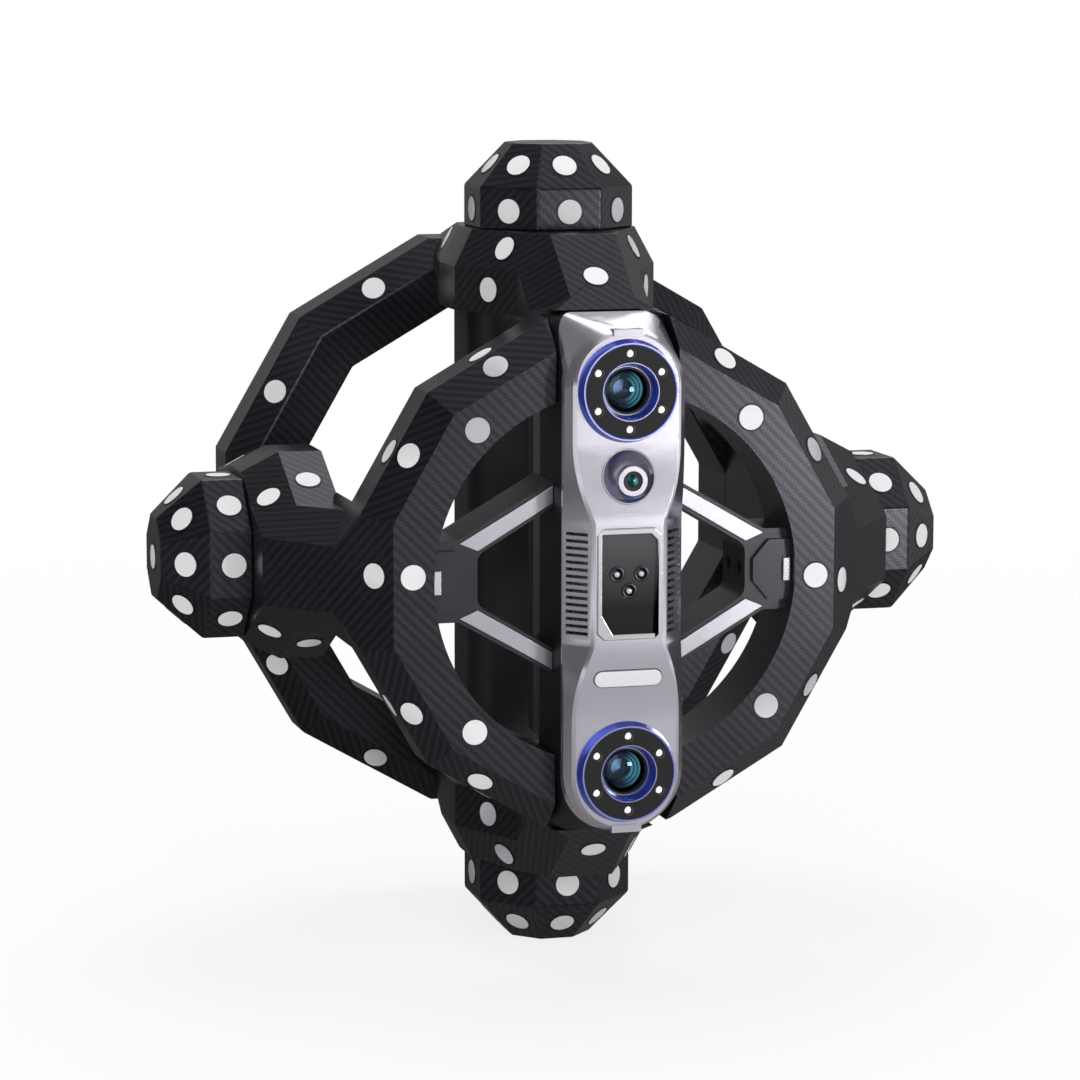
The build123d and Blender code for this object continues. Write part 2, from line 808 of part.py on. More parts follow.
def lug(end):
    """Small catch for a lens cover, on the rim of the face above or below a camera."""
    outer = bar_half_height - lug_inset
    z_span = sorted((end * outer, end * (outer - lug_height)))
    y_span = (bar_front_y - lug_rise, bar_front_y + bar_flank_depth)
    return block((-lug_width / 2, lug_width / 2), y_span, z_span)


def frame_outline(grow=0.0):
    """Chamfered rectangle of the projector's frame."""
    outline = Rectangle(frame_width + 2 * grow, frame_height + 2 * grow)
    return chamfer(outline.vertices(), frame_corner)


def bar_front_shell():
    shell = (bar_body(0.0) & front_zone()) - bar_body(bar_wall)
    for end in (-1, 1):
        shell += lug(end)
    for z in camera_sides.values():
        shell -= rod(bezel_radius + seat_clearance, 2 * bar_front_y, bar_seam_y, 0, z)
    shell -= on_face(dish_height) * rod(dish_radius + seat_clearance, -dish_length, dish_length)
    shell -= slab(frame_outline(seat_clearance), 2 * bar_front_y, bar_seam_y)
    shell -= on_face(plate_z) * slab(plate_outline(plate_gap), -plate_thickness, plate_sink)
    return shell - vent_tools()


def sensor_post_places(z_centre):
    half = sensor_board_side / 2 - board_post_inset
    return [(x, z_centre + z) for x in (-half, half) for z in (-half, half)]


def bar_rear_shell():
    floor_y = bar_back_y - bar_wall
    shell = bar_body(0.0) - front_zone() - bar_body(bar_wall)
    for z_centre in camera_sides.values():
        for x, z in sensor_post_places(z_centre):
            shell += rod(board_post_radius, sensor_board_y + board_thickness, floor_y, x, z)
    shell -= rod(air_hole_radius, floor_y, bar_back_y)
    for x, z in bar_screw_places():
        shell -= rod(bar_screw_radius + screw_clearance, floor_y, bar_back_y, x, z)
    return shell


def main_post_places():
    x = main_board_width / 2 - board_post_inset
    z = chassis_half_height - chassis_wall - main_board_margin - board_post_inset
    return [(side * x, end * z) for side in (-1, 1) for end in (-1, 1)]


def cover_screw_places():
    x = bar_half_width - cover_screw_inset
    z = chassis_half_height - cover_screw_inset
    return [(side * x, end * z) for side in (-1, 1) for end in (-1, 1)]


def chassis_outline(inset=0.0):
    return RectangleRounded(2 * (bar_half_width - inset), 2 * (chassis_half_height - inset), chassis_corner)


def bar_chassis():
    """Frame that shows as a pale band behind the black shell, with a plate across its front."""
    frame = slab(chassis_outline(), bar_back_y, chassis_back_y)
    frame -= slab(chassis_outline(chassis_wall), plate_floor_y, chassis_back_y)
    for x, z in cover_screw_places():
        frame += rod(2 * cover_screw_radius, plate_floor_y, chassis_back_y, x, z)
        frame -= rod(cover_screw_radius + screw_clearance, bar_back_y, chassis_back_y, x, z)
    for x, z in main_post_places():
        frame += rod(board_post_radius, plate_floor_y, plate_floor_y + main_post_length, x, z)
    return frame - rod(air_hole_radius, bar_back_y, plate_floor_y)


def bar_back_cover():
    body = slab(chassis_outline(), chassis_back_y, cover_back_y)
    body = fillet(body.faces().sort_by(Axis.Y)[-1].edges(), back_cover_round)
    body -= slab(chassis_outline(chassis_wall), chassis_back_y, cover_back_y - bar_wall)
    first = -(exhaust_count - 1) * exhaust_pitch / 2
    half = exhaust_width / 2
    for index in range(exhaust_count):
        z = first + index * exhaust_pitch
        slot_span = (z - exhaust_slot / 2, z + exhaust_slot / 2)
        body -= block((-half, half), (cover_back_y - 2 * bar_wall, cover_back_y), slot_span)
    for x, z in cover_screw_places():
        body += rod(2 * cover_screw_head_radius - cover_screw_radius, chassis_back_y,
                    cover_back_y - bar_wall, x, z) & slab(chassis_outline(), chassis_back_y, cover_back_y)
        body -= rod(cover_screw_radius + screw_clearance, chassis_back_y, cover_back_y, x, z)
        head_seat = cover_back_y - cover_screw_head
        body -= rod(cover_screw_head_radius + screw_clearance, head_seat, cover_back_y, x, z)
    return body


def camera_bezel(z):
    """Blue cup round a camera: flared outer wall, web for the light ring, inner cone down to the lens."""
    web_front = bezel_front_y + led_disc_thickness + led_disc_gap
    web_back = web_front + bezel_web
    inner = bezel_radius - bezel_wall
    cup_outer = bezel_cup_radius + bezel_cup_wall
    bezel = rod(bezel_radius, bezel_front_y, bezel_back_y, 0, z)
    bezel += taper(bezel_radius, bezel_radius + bezel_flare, bezel_front_y, bar_front_y, 0, z)
    bezel -= tube(inner, cup_outer, bezel_front_y, web_front, 0, z)
    bezel -= tube(inner, cup_outer, web_back, bezel_back_y, 0, z)
    barrel_hole = barrel_radius + seat_clearance
    bezel -= taper(bezel_cup_radius, barrel_hole, bezel_front_y, barrel_front_y, 0, z)
    return bezel - rod(barrel_hole, barrel_front_y, bezel_back_y, 0, z)


def led_places(z_centre):
    step = full_turn_angle / led_count
    return [(led_circle * sine(index * step), z_centre + led_circle * cosine(index * step))
            for index in range(led_count)]


def led_disc(z_centre):
    back = bezel_front_y + led_disc_thickness + led_disc_gap
    front = back - led_disc_thickness
    outer = bezel_radius - bezel_wall - led_disc_gap
    inner = bezel_cup_radius + bezel_cup_wall + led_disc_gap
    disc = tube(outer, inner, front, back, 0, z_centre)
    for x, z in led_places(z_centre):
        disc -= rod(led_hole_radius, front, back, x, z)
    return disc


def leds(z_centre):
    """Domed light-emitting diodes seated on the bezel's web, sunk in the light disc's holes."""
    back = bezel_front_y + led_disc_thickness + led_disc_gap
    front = back - led_base
    domes = []
    for x, z in led_places(z_centre):
        body = rod(led_radius, front, back, x, z) + Pos(x, front, z) * Sphere(led_radius)
        domes.append(body & rod(led_radius, front - led_radius, back, x, z))
    return Compound(children=domes)


def lens_barrel(z):
    barrel = rod(barrel_radius, barrel_front_y, sensor_board_y, 0, z)
    lens_back = barrel_front_y + lens_recess + lens_dome + lens_edge
    inner = barrel_radius - barrel_wall
    barrel -= rod(inner, barrel_front_y, lens_back, 0, z)
    return barrel - rod(inner - barrel_stop, lens_back, sensor_board_y, 0, z)


def lens_glass(z):
    """Front lens: a cylinder edge with a spherical front, seated in the barrel."""
    radius = barrel_radius - barrel_wall - seat_clearance
    front = barrel_front_y + lens_recess
    back = front + lens_dome + lens_edge
    sphere_radius = (radius ** 2 + lens_dome ** 2) / (2 * lens_dome)
    return rod(radius, front, back, 0, z) & Pos(0, front + sphere_radius, z) * Sphere(sphere_radius)


def sensor_board(z):
    half = sensor_board_side / 2
    return block((-half, half), (sensor_board_y, sensor_board_y + board_thickness), (z - half, z + half))


def texture_centre():
    return (texture_offset_x, dish_height + texture_offset_z)


def texture_dish():
    bowl = dish_radius - dish_lip
    sphere_radius = (bowl ** 2 + dish_depth ** 2) / (2 * dish_depth)
    dish = rod(dish_radius, -dish_front, dish_length)
    dish -= Pos(0, dish_depth - dish_front - sphere_radius, 0) * Sphere(sphere_radius)
    x, z = texture_centre()
    front = texture_front()
    hole = rod(texture_barrel_radius + seat_clearance, front, front + 2 * texture_barrel_length, x, z)
    return on_face(dish_height) * dish - hole


def texture_front():
    return face_y(dish_height) - texture_barrel_rise


def texture_barrel():
    x, z = texture_centre()
    inner = texture_barrel_radius - texture_barrel_wall
    front = texture_front()
    barrel = rod(texture_barrel_radius, front, front + texture_barrel_length, x, z)
    return barrel - rod(inner, front, front + texture_lens_recess + texture_lens_thickness, x, z)


def texture_lens():
    x, z = texture_centre()
    radius = texture_barrel_radius - texture_barrel_wall - seat_clearance
    front = texture_front() + texture_lens_recess
    return rod(radius, front, front + texture_lens_thickness, x, z)


def panel_outline(inset=0.0):
    """Window with one small cut corner at top right and a long one at bottom left."""
    half_w = panel_width / 2 - inset
    half_h = panel_height / 2 - inset
    corners = [(-half_w, half_h), (half_w - panel_corner_right, half_h),
               (half_w, half_h - panel_corner_right), (half_w, -half_h),
               (panel_corner_left_x - half_w, -half_h), (-half_w, panel_corner_left_z - half_h)]
    return make_face(Polyline(*corners, close=True))


def projector_frame():
    frame = slab(frame_outline(), frame_front_y, frame_back_y)
    frame -= slab(panel_outline(), frame_front_y, panel_back_y)
    return frame - slab(panel_outline(panel_ledge), panel_back_y, frame_back_y)


def laser_panel():
    panel = slab(panel_outline(seat_clearance), panel_front_y, panel_back_y)
    for x, z in laser_places:
        panel -= rod(laser_lens_radius + seat_clearance, panel_front_y, panel_back_y, x, z)
    return panel


def laser_lenses():
    lenses = [rod(laser_lens_radius, panel_front_y, panel_back_y, x, z) for x, z in laser_places]
    return Compound(children=lenses)


def laser_modules():
    modules = [rod(laser_module_radius, panel_back_y, sink_front_y, x, z) for x, z in laser_places]
    return Compound(children=modules)


def laser_mount():
    mount = slab(panel_outline(panel_ledge + laser_gap), panel_back_y + laser_gap, sink_front_y)
    for x, z in laser_places:
        mount -= rod(laser_module_radius + laser_fit, panel_back_y, sink_front_y, x, z)
    return mount


def heat_sink():
    half_w = sink_width / 2
    half_h = sink_height / 2
    fin_back = bar_back_y - bar_wall
    base_back = sink_front_y + sink_base
    sink = block((-half_w, half_w), (sink_front_y, base_back), (-half_h, half_h))
    pitch = (sink_width - fin_thickness) / (fin_count - 1)
    for index in range(fin_count):
        x = -half_w + index * pitch
        sink += block((x, x + fin_thickness), (base_back, fin_back), (-half_h, half_h))
    return sink


def main_board():
    half_w = main_board_width / 2
    half_h = chassis_half_height - chassis_wall - main_board_margin
    front = plate_floor_y + main_post_length
    hole = fan_side / 2 + fan_board_gap
    board = block((-half_w, half_w), (front, front + board_thickness), (-half_h, half_h))
    return board - block((-hole, hole), (front, front + board_thickness), (-hole, hole))


def fan_frame():
    half = fan_side / 2
    back = plate_floor_y + fan_depth
    frame = block((-half, half), (plate_floor_y, back), (-half, half)) - rod(fan_bore, plate_floor_y, back)
    frame += rod(fan_hub_radius, plate_floor_y, plate_floor_y + fan_hub_disc)
    spoke_span = (-fan_spoke / 2, fan_spoke / 2)
    disc_span = (plate_floor_y, plate_floor_y + fan_hub_disc)
    frame += block((-half, half), disc_span, spoke_span)
    frame += block(spoke_span, disc_span, (-half, half))
    return frame + rod(fan_shaft_radius, plate_floor_y, back - 2 * fan_axial_gap)


def fan_rotor():
    """Hub on the shaft, with blades whose roots are sunk in it."""
    front = plate_floor_y + fan_hub_disc + fan_axial_gap
    back = plate_floor_y + fan_depth - fan_axial_gap
    hub = rod(fan_hub_radius, front, back)
    tip = fan_bore - fan_tip_gap
    root = fan_hub_radius / 2
    depth = (back - front) / cosine(blade_pitch) - 2 * blade_thickness
    rotor = hub
    for index in range(blade_count):
        blade = Pos((root + tip) / 2, 0, 0) * Rot(blade_pitch, 0, 0) * Box(tip - root, depth, blade_thickness)
        rotor += Rot(0, index * full_turn_angle / blade_count, 0) * Pos(0, (front + back) / 2, 0) * blade
    envelope = rod(tip, front, back)
    return (rotor & envelope) - rod(fan_shaft_radius + fan_running_gap, front, back - fan_axial_gap)


def plate_outline(grow=0.0):
    return SlotOverall(plate_width + 2 * grow, plate_height + 2 * grow)


def name_plate():
    """Blank pill that lies in a shallow pocket of the bowed face."""
    return on_face(plate_z) * slab(plate_outline(), plate_sink - plate_thickness, plate_sink)


def strut_arm_points(top, bottom, side):
    """Corner points of the arms' edges, at the bar and at the hub."""
    near = bar_half_width + seat_clearance
    return ((side * near, top), (side * strut_hub_x, strut_hub_half),
            (side * near, bottom), (side * strut_window_x, strut_window_half))


def pad_outline(side):
    """Raised pad on a strut's hub, with its corners cut towards the window."""
    nose_x = strut_window_x + pad_margin
    upper = [(nose_x, pad_nose_half), (nose_x + pad_cut, pad_half), (front_ring_bore, pad_half)]
    corners = upper + [(x, -z) for x, z in reversed(upper)]
    return make_face(Polyline(*[(side * x, z) for x, z in corners], close=True))


def hub_clips():
    """Bright clips at the ring end of the hub pads."""
    clips = []
    for side in (-1, 1):
        outer_x = front_ring_bore - clip_gap
        x_span = sorted((side * outer_x, side * (outer_x - clip_width)))
        clips.append(block(x_span, (pad_front_y - clip_rise, pad_front_y), (-clip_half, clip_half)))
    return Compound(children=clips)


def strut(side):
    top_bar, top_hub, low_bar, low_hub = strut_arm_points(strut_arm_top, strut_arm_bottom, side)
    ring_x = side * front_ring_bore
    outline = [top_bar, top_hub, (ring_x, strut_hub_half), (ring_x, -strut_hub_half),
               (top_hub[0], -top_hub[1]), (top_bar[0], -top_bar[1])]
    window = [low_bar, low_hub, (low_hub[0], -low_hub[1]), (low_bar[0], -low_bar[1])]
    opening = make_face(Polyline(*window, close=True))
    hub_corners = opening.vertices().filter_by_position(
        Axis.X, side * strut_window_x - seat_clearance, side * strut_window_x + seat_clearance)
    opening = fillet(hub_corners, strut_window_round)
    body = slab(make_face(Polyline(*outline, close=True)) - opening, strut_front_y, strut_back_y)
    body += slab(pad_outline(side), pad_front_y, strut_front_y)
    body &= rod(front_ring_bore - seat_clearance, pad_front_y, strut_back_y)
    body -= strut_screw_bore(strut_screw_radius + screw_clearance, strut_window_x / 2, front_ring_bore)
    return body - strut_screw_bore(strut_screw_head_radius + screw_clearance, strut_window_x / 2,
                                   strut_window_x + strut_screw_head)


def strut_inlays():
    """Satin strips on the front of the four arms, set in from the arms' edges."""
    slope = (strut_arm_top - strut_hub_half) / (strut_hub_x - bar_half_width)
    drop = inlay_margin * math.sqrt(1 + slope ** 2)
    strips = []
    for side in (-1, 1):
        top_bar, top_hub, low_bar, low_hub = strut_arm_points(
            strut_arm_top - drop, strut_arm_bottom + drop, side)
        upper = [top_bar, (top_hub[0], top_hub[1] - drop), (low_hub[0], low_hub[1] + drop), low_bar]
        for end in (-1, 1):
            corners = [(x, end * z) for x, z in upper]
            face = make_face(Polyline(*corners, close=True))
            strips.append(slab(face, strut_front_y - inlay_thickness, strut_front_y))
    return Compound(children=strips)


def strut_screws():
    """Cap screws that hold the strut hubs to the ring."""
    screws = []
    for side in (-1, 1):
        for y in strut_screw_depths():
            head_x = side * (strut_window_x + strut_screw_head / 2)
            shank_start = strut_window_x + strut_screw_head
            shank_length = front_ring_bore + cage_wall - shank_start
            head = Cylinder(strut_screw_head_radius, strut_screw_head)
            shank = Cylinder(strut_screw_radius, shank_length)
            screw = Pos(head_x, y, 0) * Rot(0, 90, 0) * head
            screw += Pos(side * (shank_start + shank_length / 2), y, 0) * Rot(0, 90, 0) * shank
            screws.append(screw)
    return Compound(children=screws)


def bar_screws():
    """Screws from behind the front ring into the ends of the bar."""
    screws = []
    for x, z in bar_screw_places():
        head = rod(bar_screw_head_radius, front_ring_back_y, front_ring_back_y + bar_screw_head, x, z)
        shank = rod(bar_screw_radius, front_ring_back_y - bar_screw_length, front_ring_back_y, x, z)
        screws.append(head + shank)
    return Compound(children=screws)


def cover_screws():
    screws = []
    for x, z in cover_screw_places():
        head_front = cover_back_y - cover_screw_head
        head = rod(cover_screw_head_radius, head_front, cover_back_y, x, z)
        screws.append(head + rod(cover_screw_radius, cover_back_y - cover_screw_length, head_front, x, z))
    return Compound(children=screws)


def handle_section(inset):
    corner = handle_corner - inset
    return RectangleRounded(handle_width - 2 * inset, handle_depth - 2 * inset, corner)


def handle_body():
    """Hollow upright bar with closed ends."""
    place = Pos(0, handle_centre_y, -handle_half_height)
    outer = place * extrude(handle_section(0.0), amount=2 * handle_half_height)
    outer &= rear_opening(-seat_clearance)
    inner_place = Pos(0, handle_centre_y, -handle_half_height + handle_wall)
    inner_height = 2 * (handle_half_height - handle_wall)
    return outer - inner_place * extrude(handle_section(handle_wall), amount=inner_height)


def handle_half(y_span):
    half = handle_width
    return handle_body() & block((-half, half), y_span, (-handle_half_height, handle_half_height))


def handle_front_shell():
    shell = handle_half((handle_front_y, handle_centre_y))
    for z in handle_screw_heights:
        boss_front = handle_front_y + handle_wall
        shell += rod(handle_screw_radius + handle_boss_wall, boss_front, handle_centre_y, 0, z)
        hole_start = handle_centre_y - handle_screw_grip
        shell -= rod(handle_screw_radius + screw_clearance, hole_start, handle_centre_y, 0, z)
    return shell


def button_places():
    places = [("scan", scan_button_radius, scan_button_z)]
    for name, z in small_buttons.items():
        places.append((name, small_button_radius, z))
    return places


def panel_plate_span():
    half = panel_plate_width / 2
    return (-half, half), (panel_plate_bottom, panel_plate_top)


def handle_rear_shell():
    shell = handle_half((handle_centre_y, handle_back_y))
    x_span, z_span = panel_plate_span()
    shell -= block(x_span, (handle_back_y - panel_plate_sink, handle_back_y), z_span)
    for _, radius, z in button_places():
        shell -= rod(radius + button_clearance, handle_centre_y, handle_back_y, 0, z)
    for z in handle_screw_heights:
        shell += rod(handle_screw_radius + handle_boss_wall, handle_centre_y, handle_inner_back_y, 0, z)
        shell -= rod(handle_screw_radius + screw_clearance, handle_centre_y, handle_back_y, 0, z)
        head_seat = handle_back_y - handle_screw_head
        shell -= rod(handle_screw_head_radius + screw_clearance, head_seat, handle_back_y, 0, z)
    for x, z in key_post_places():
        shell += rod(board_post_radius, key_board_front_y, handle_inner_back_y, x, z)
    return shell - rod(socket_radius + seat_clearance, handle_centre_y, handle_back_y, 0, socket_z)


def key_post_places():
    x = key_board_width / 2 - board_post_radius
    low, high = panel_plate_bottom + board_post_inset, panel_plate_top - board_post_radius
    return [(side * x, z) for side in (-1, 1) for z in (low, high)]


def handle_screws():
    screws = []
    for z in handle_screw_heights:
        head_front = handle_back_y - handle_screw_head
        head = rod(handle_screw_head_radius, head_front, handle_back_y, 0, z)
        screws.append(head + rod(handle_screw_radius, handle_centre_y - handle_screw_grip, head_front, 0, z))
    return Compound(children=screws)


def key_panel():
    x_span, z_span = panel_plate_span()
    front = handle_back_y - panel_plate_sink
    x_inner = (x_span[0] + seat_clearance, x_span[1] - seat_clearance)
    z_inner = (z_span[0] + seat_clearance, z_span[1] - seat_clearance)
    panel = block(x_inner, (front, front + panel_plate_thickness), z_inner)
    for _, radius, z in button_places():
        panel -= rod(radius + button_clearance, front, front + panel_plate_thickness, 0, z)
    return panel


def key_board():
    """Circuit board behind the buttons, with a switch under each."""
    half = key_board_width / 2
    back = key_board_front_y
    board = block((-half, half), (back - board_thickness, back), (panel_plate_bottom, panel_plate_top))
    for _, _, z in button_places():
        board += rod(switch_radius, back, back + switch_height, 0, z)
    return board


def button(radius, z):
    """Cap that stands out of the key panel, with a flange that stops it behind the shell."""
    flange_back = flange_front_y + button_flange_thickness
    cap_back = handle_back_y - panel_plate_sink + panel_plate_thickness + button_rise
    flange = rod(radius + button_flange, flange_front_y, flange_back, 0, z)
    return flange + rod(radius, flange_back, cap_back, 0, z)


def cable_socket():
    """Round inlet for the cable, with a flange on the handle's back."""
    front = handle_back_y + socket_flange - socket_bore_depth - socket_insert
    body = rod(socket_radius, front, handle_back_y, 0, socket_z)
    body += rod(socket_flange_radius, handle_back_y, handle_back_y + socket_flange, 0, socket_z)
    body -= rod(socket_bore, front + socket_insert, handle_back_y + socket_flange, 0, socket_z)
    return body - rod(socket_bore - socket_step, front, handle_back_y, 0, socket_z)


def socket_insert_disc():
    back = handle_back_y + socket_flange - socket_bore_depth
    disc = rod(socket_bore - socket_step - seat_clearance, back - socket_insert, back, 0, socket_z)
    step = full_turn_angle / contact_count
    for index in range(contact_count):
        x = contact_circle * sine(index * step)
        z = socket_z + contact_circle * cosine(index * step)
        disc -= rod(contact_radius, back - socket_insert, back, x, z)
    return disc


def build_nodes():
    """Every piece of the scanner by name, drawn about the cage's centre."""
    nodes = {"front_ring": front_ring(), "rear_ring": rear_ring()}
    front_blank = convex(front_ring_planes())
    rear_blank = convex(rear_ring_planes())
    bridge = top_bridge(front_blank, rear_blank)
    pod = top_pod()
    for name, turn in cage_sides.items():
        nodes[name + "_bridge"] = Rot(0, turn, 0) * bridge
        nodes[name + "_pod"] = Rot(0, turn, 0) * pod
    nodes["marker_rims"], nodes["marker_dots"] = marker_dots()
    nodes["bar_front_shell"] = bar_front_shell()
    nodes["bar_rear_shell"] = bar_rear_shell()
    nodes["bar_chassis"] = bar_chassis()
    nodes["bar_back_cover"] = bar_back_cover()
    for name, z in camera_sides.items():
        nodes[name + "_camera_bezel"] = camera_bezel(z)
        nodes[name + "_led_disc"] = led_disc(z)
        nodes[name + "_leds"] = leds(z)
        nodes[name + "_lens_barrel"] = lens_barrel(z)
        nodes[name + "_lens"] = lens_glass(z)
        nodes[name + "_sensor_board"] = sensor_board(z)
    nodes["texture_dish"] = texture_dish()
    nodes["texture_barrel"] = texture_barrel()
    nodes["texture_lens"] = texture_lens()
    nodes["projector_frame"] = projector_frame()
    nodes["laser_panel"] = laser_panel()
    nodes["laser_lenses"] = laser_lenses()
    nodes["laser_modules"] = laser_modules()
    nodes["laser_mount"] = laser_mount()
    nodes["heat_sink"] = heat_sink()
    nodes["main_board"] = main_board()
    nodes["fan_frame"] = fan_frame()
    nodes["fan_rotor"] = fan_rotor()
    nodes["name_plate"] = name_plate()
    nodes["left_strut"] = strut(-1)
    nodes["right_strut"] = strut(1)
    nodes["strut_inlays"] = strut_inlays()
    nodes["hub_clips"] = hub_clips()
    nodes["strut_screws"] = strut_screws()
    nodes["bar_screws"] = bar_screws()
    nodes["cover_screws"] = cover_screws()
    nodes["handle_front_shell"] = handle_front_shell()
    nodes["handle_rear_shell"] = handle_rear_shell()
    nodes["handle_screws"] = handle_screws()
    nodes["key_panel"] = key_panel()
    nodes["key_board"] = key_board()
    for name, radius, z in button_places():
        nodes[name + "_button"] = button(radius, z)
    nodes["cable_socket"] = cable_socket()
    nodes["socket_insert"] = socket_insert_disc()
    return nodes


os.makedirs("parts", exist_ok=True)
for node, shape in build_nodes().items():
    export_step(Pos(0, 0, pod_reach) * shape, "parts/" + node + ".step")
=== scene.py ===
# %% [markdown]
# # A handheld tracked scanner
# The scanner is a faceted carbon cage with white marker dots, a silver camera bar in its front ring
# and a handle in its rear ring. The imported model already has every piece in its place, in metres.
# This lesson gives each piece its finish, softens the edges so that they catch the light, and adds the
# small optical parts that are too fine for the solids.

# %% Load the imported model
import bmesh
import bpy
import json
import math
import numpy as np
from mathutils import Matrix, Vector


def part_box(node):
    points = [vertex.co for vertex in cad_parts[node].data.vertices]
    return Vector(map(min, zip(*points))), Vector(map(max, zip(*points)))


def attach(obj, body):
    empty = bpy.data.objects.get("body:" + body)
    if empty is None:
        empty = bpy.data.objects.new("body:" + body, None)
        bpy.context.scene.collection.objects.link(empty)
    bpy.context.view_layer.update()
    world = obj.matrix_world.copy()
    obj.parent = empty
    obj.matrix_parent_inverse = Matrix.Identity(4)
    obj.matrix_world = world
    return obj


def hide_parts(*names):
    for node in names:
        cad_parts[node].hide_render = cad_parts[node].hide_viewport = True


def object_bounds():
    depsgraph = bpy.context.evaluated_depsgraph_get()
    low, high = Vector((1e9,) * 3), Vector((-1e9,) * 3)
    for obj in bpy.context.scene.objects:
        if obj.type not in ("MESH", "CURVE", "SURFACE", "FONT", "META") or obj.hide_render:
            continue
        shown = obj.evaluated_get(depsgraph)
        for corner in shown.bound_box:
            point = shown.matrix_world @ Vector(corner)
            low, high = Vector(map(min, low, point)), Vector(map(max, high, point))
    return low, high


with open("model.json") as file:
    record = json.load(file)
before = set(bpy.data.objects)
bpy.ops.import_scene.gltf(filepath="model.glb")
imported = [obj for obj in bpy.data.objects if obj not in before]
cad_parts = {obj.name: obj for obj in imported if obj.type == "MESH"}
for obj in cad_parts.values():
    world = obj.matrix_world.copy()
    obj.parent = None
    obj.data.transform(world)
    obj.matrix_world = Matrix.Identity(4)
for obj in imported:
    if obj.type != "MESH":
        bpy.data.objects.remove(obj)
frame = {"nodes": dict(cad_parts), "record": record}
nodes = frame["nodes"]
cad_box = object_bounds()
slot_of = {part["node"]: part["material_slot"] for part in frame["record"]["subparts"]}
bodies = frame["record"]["behaviour"]["bodies"]
body_of = {node: body for body, group in bodies.items() for node in group}
print("nodes:", len(nodes), "lowest:", tuple(cad_box[0]), "highest:", tuple(cad_box[1]))

# %% [markdown]
# The photograph was taken with a long lens, a little to the left of the front and slightly above. A
# camera could be placed by hand and aimed with a Track To constraint. Here it is built from its two
# angles, because they can then be read and changed: "back" points from the cage's centre to the camera,
# and "right" and "up" follow from it. A small roll and a small offset put the cage where the photo has it.

# %% Camera
cage_centre = Vector((0.0, 0.0, (cad_box[0][2] + cad_box[1][2]) / 2))
yaw, pitch, roll = (math.radians(angle) for angle in (15.70, 8.40, 0.13))
camera_distance = 1.4624
offset_right, offset_up = -0.002676, 0.000428
back = Vector((-math.sin(yaw) * math.cos(pitch), -math.cos(yaw) * math.cos(pitch), math.sin(pitch)))
level_right = Vector((math.cos(yaw), -math.sin(yaw), 0.0))
level_up = back.cross(level_right)
right = level_right * math.cos(roll) + level_up * math.sin(roll)
up = level_up * math.cos(roll) - level_right * math.sin(roll)
camera_data = bpy.data.cameras.new("photo_camera")
camera_data.sensor_fit = "HORIZONTAL"
camera_data.sensor_width = 36.0
camera_data.lens = 128.44
camera = bpy.data.objects.new("photo_camera", camera_data)
bpy.context.scene.collection.objects.link(camera)
turn = Matrix((right, up, back)).transposed().to_4x4()
camera_place = cage_centre + back * camera_distance + right * offset_right + up * offset_up
camera.matrix_world = Matrix.Translation(camera_place) @ turn
bpy.context.scene.camera = camera
print("camera at", tuple(round(value, 3) for value in camera_place))

# %% [markdown]
# A finish is a node tree round one Principled shader. Such trees could be wired by hand in the shader
# editor. Some thirty finishes share the same few moves, so they are written as code, and small helpers
# keep them readable: one starts a finish with its plain values, one adds a node and links or sets its
# inputs, and the others each stand for one common node.

# %% Node helpers
def start_finish(name, **values):
    """A new material with a Principled shader whose named inputs have these plain values."""
    finish = bpy.data.materials.new(name)
    finish.use_nodes = True
    shader = finish.node_tree.nodes["Principled BSDF"]
    for key, value in values.items():
        socket = shader.inputs[key.replace("_", " ")]
        socket.default_value = (*value, 1.0) if isinstance(value, tuple) else value
    return finish, finish.node_tree, shader


def add(tree, kind, inputs, **settings):
    """Adds a node; an input is linked if it is given as a socket, and set if it is a value."""
    node = tree.nodes.new(kind)
    for key, value in settings.items():
        setattr(node, key, value)
    for key, value in inputs.items():
        if isinstance(value, bpy.types.NodeSocket):
            tree.links.new(value, node.inputs[key])
        else:
            node.inputs[key].default_value = value
    return node


def calc(tree, operation, first, second=0.0):
    """One arithmetic step on sockets or numbers."""
    return add(tree, "ShaderNodeMath", {0: first, 1: second}, operation=operation).outputs[0]


def spread(tree, factor, low, high, start=0.0, end=1.0, kind="LINEAR"):
    """Maps a factor that runs from start to end onto low to high, and holds it at both ends."""
    values = {"Value": factor, "From Min": start, "From Max": end, "To Min": low, "To Max": high}
    return add(tree, "ShaderNodeMapRange", values, interpolation_type=kind).outputs["Result"]


def ramp(tree, factor, stops):
    """A colour ramp through (position, colour) stops."""
    node = add(tree, "ShaderNodeValToRGB", {"Fac": factor})
    points = node.color_ramp.elements
    while len(points) < len(stops):
        points.new(0.5)
    for point, (position, colour) in zip(points, stops):
        point.position = position
        point.color = (*colour, 1.0)
    return node.outputs["Color"]


print("node helpers ready")

# %% [markdown]
# No real surface has one flat colour. Paint drifts in shade, and plastic and metal have a fine grain. An
# image texture could show that, but noise over the object's own metres needs no file and has no seams,
# and its scale can be read as a size: noise of scale 4000 has grains of about a quarter of a millimetre.

# %% Grain helpers
micron = 1e-6


def object_coordinates(tree):
    """The position on the piece, in metres."""
    return add(tree, "ShaderNodeTexCoord", {}).outputs["Object"]


def noise(tree, scale, detail=2.0):
    """Smooth noise over the object's own metres, from 0 to 1."""
    values = {"Vector": object_coordinates(tree), "Scale": scale, "Detail": detail}
    return add(tree, "ShaderNodeTexNoise", values).outputs["Fac"]


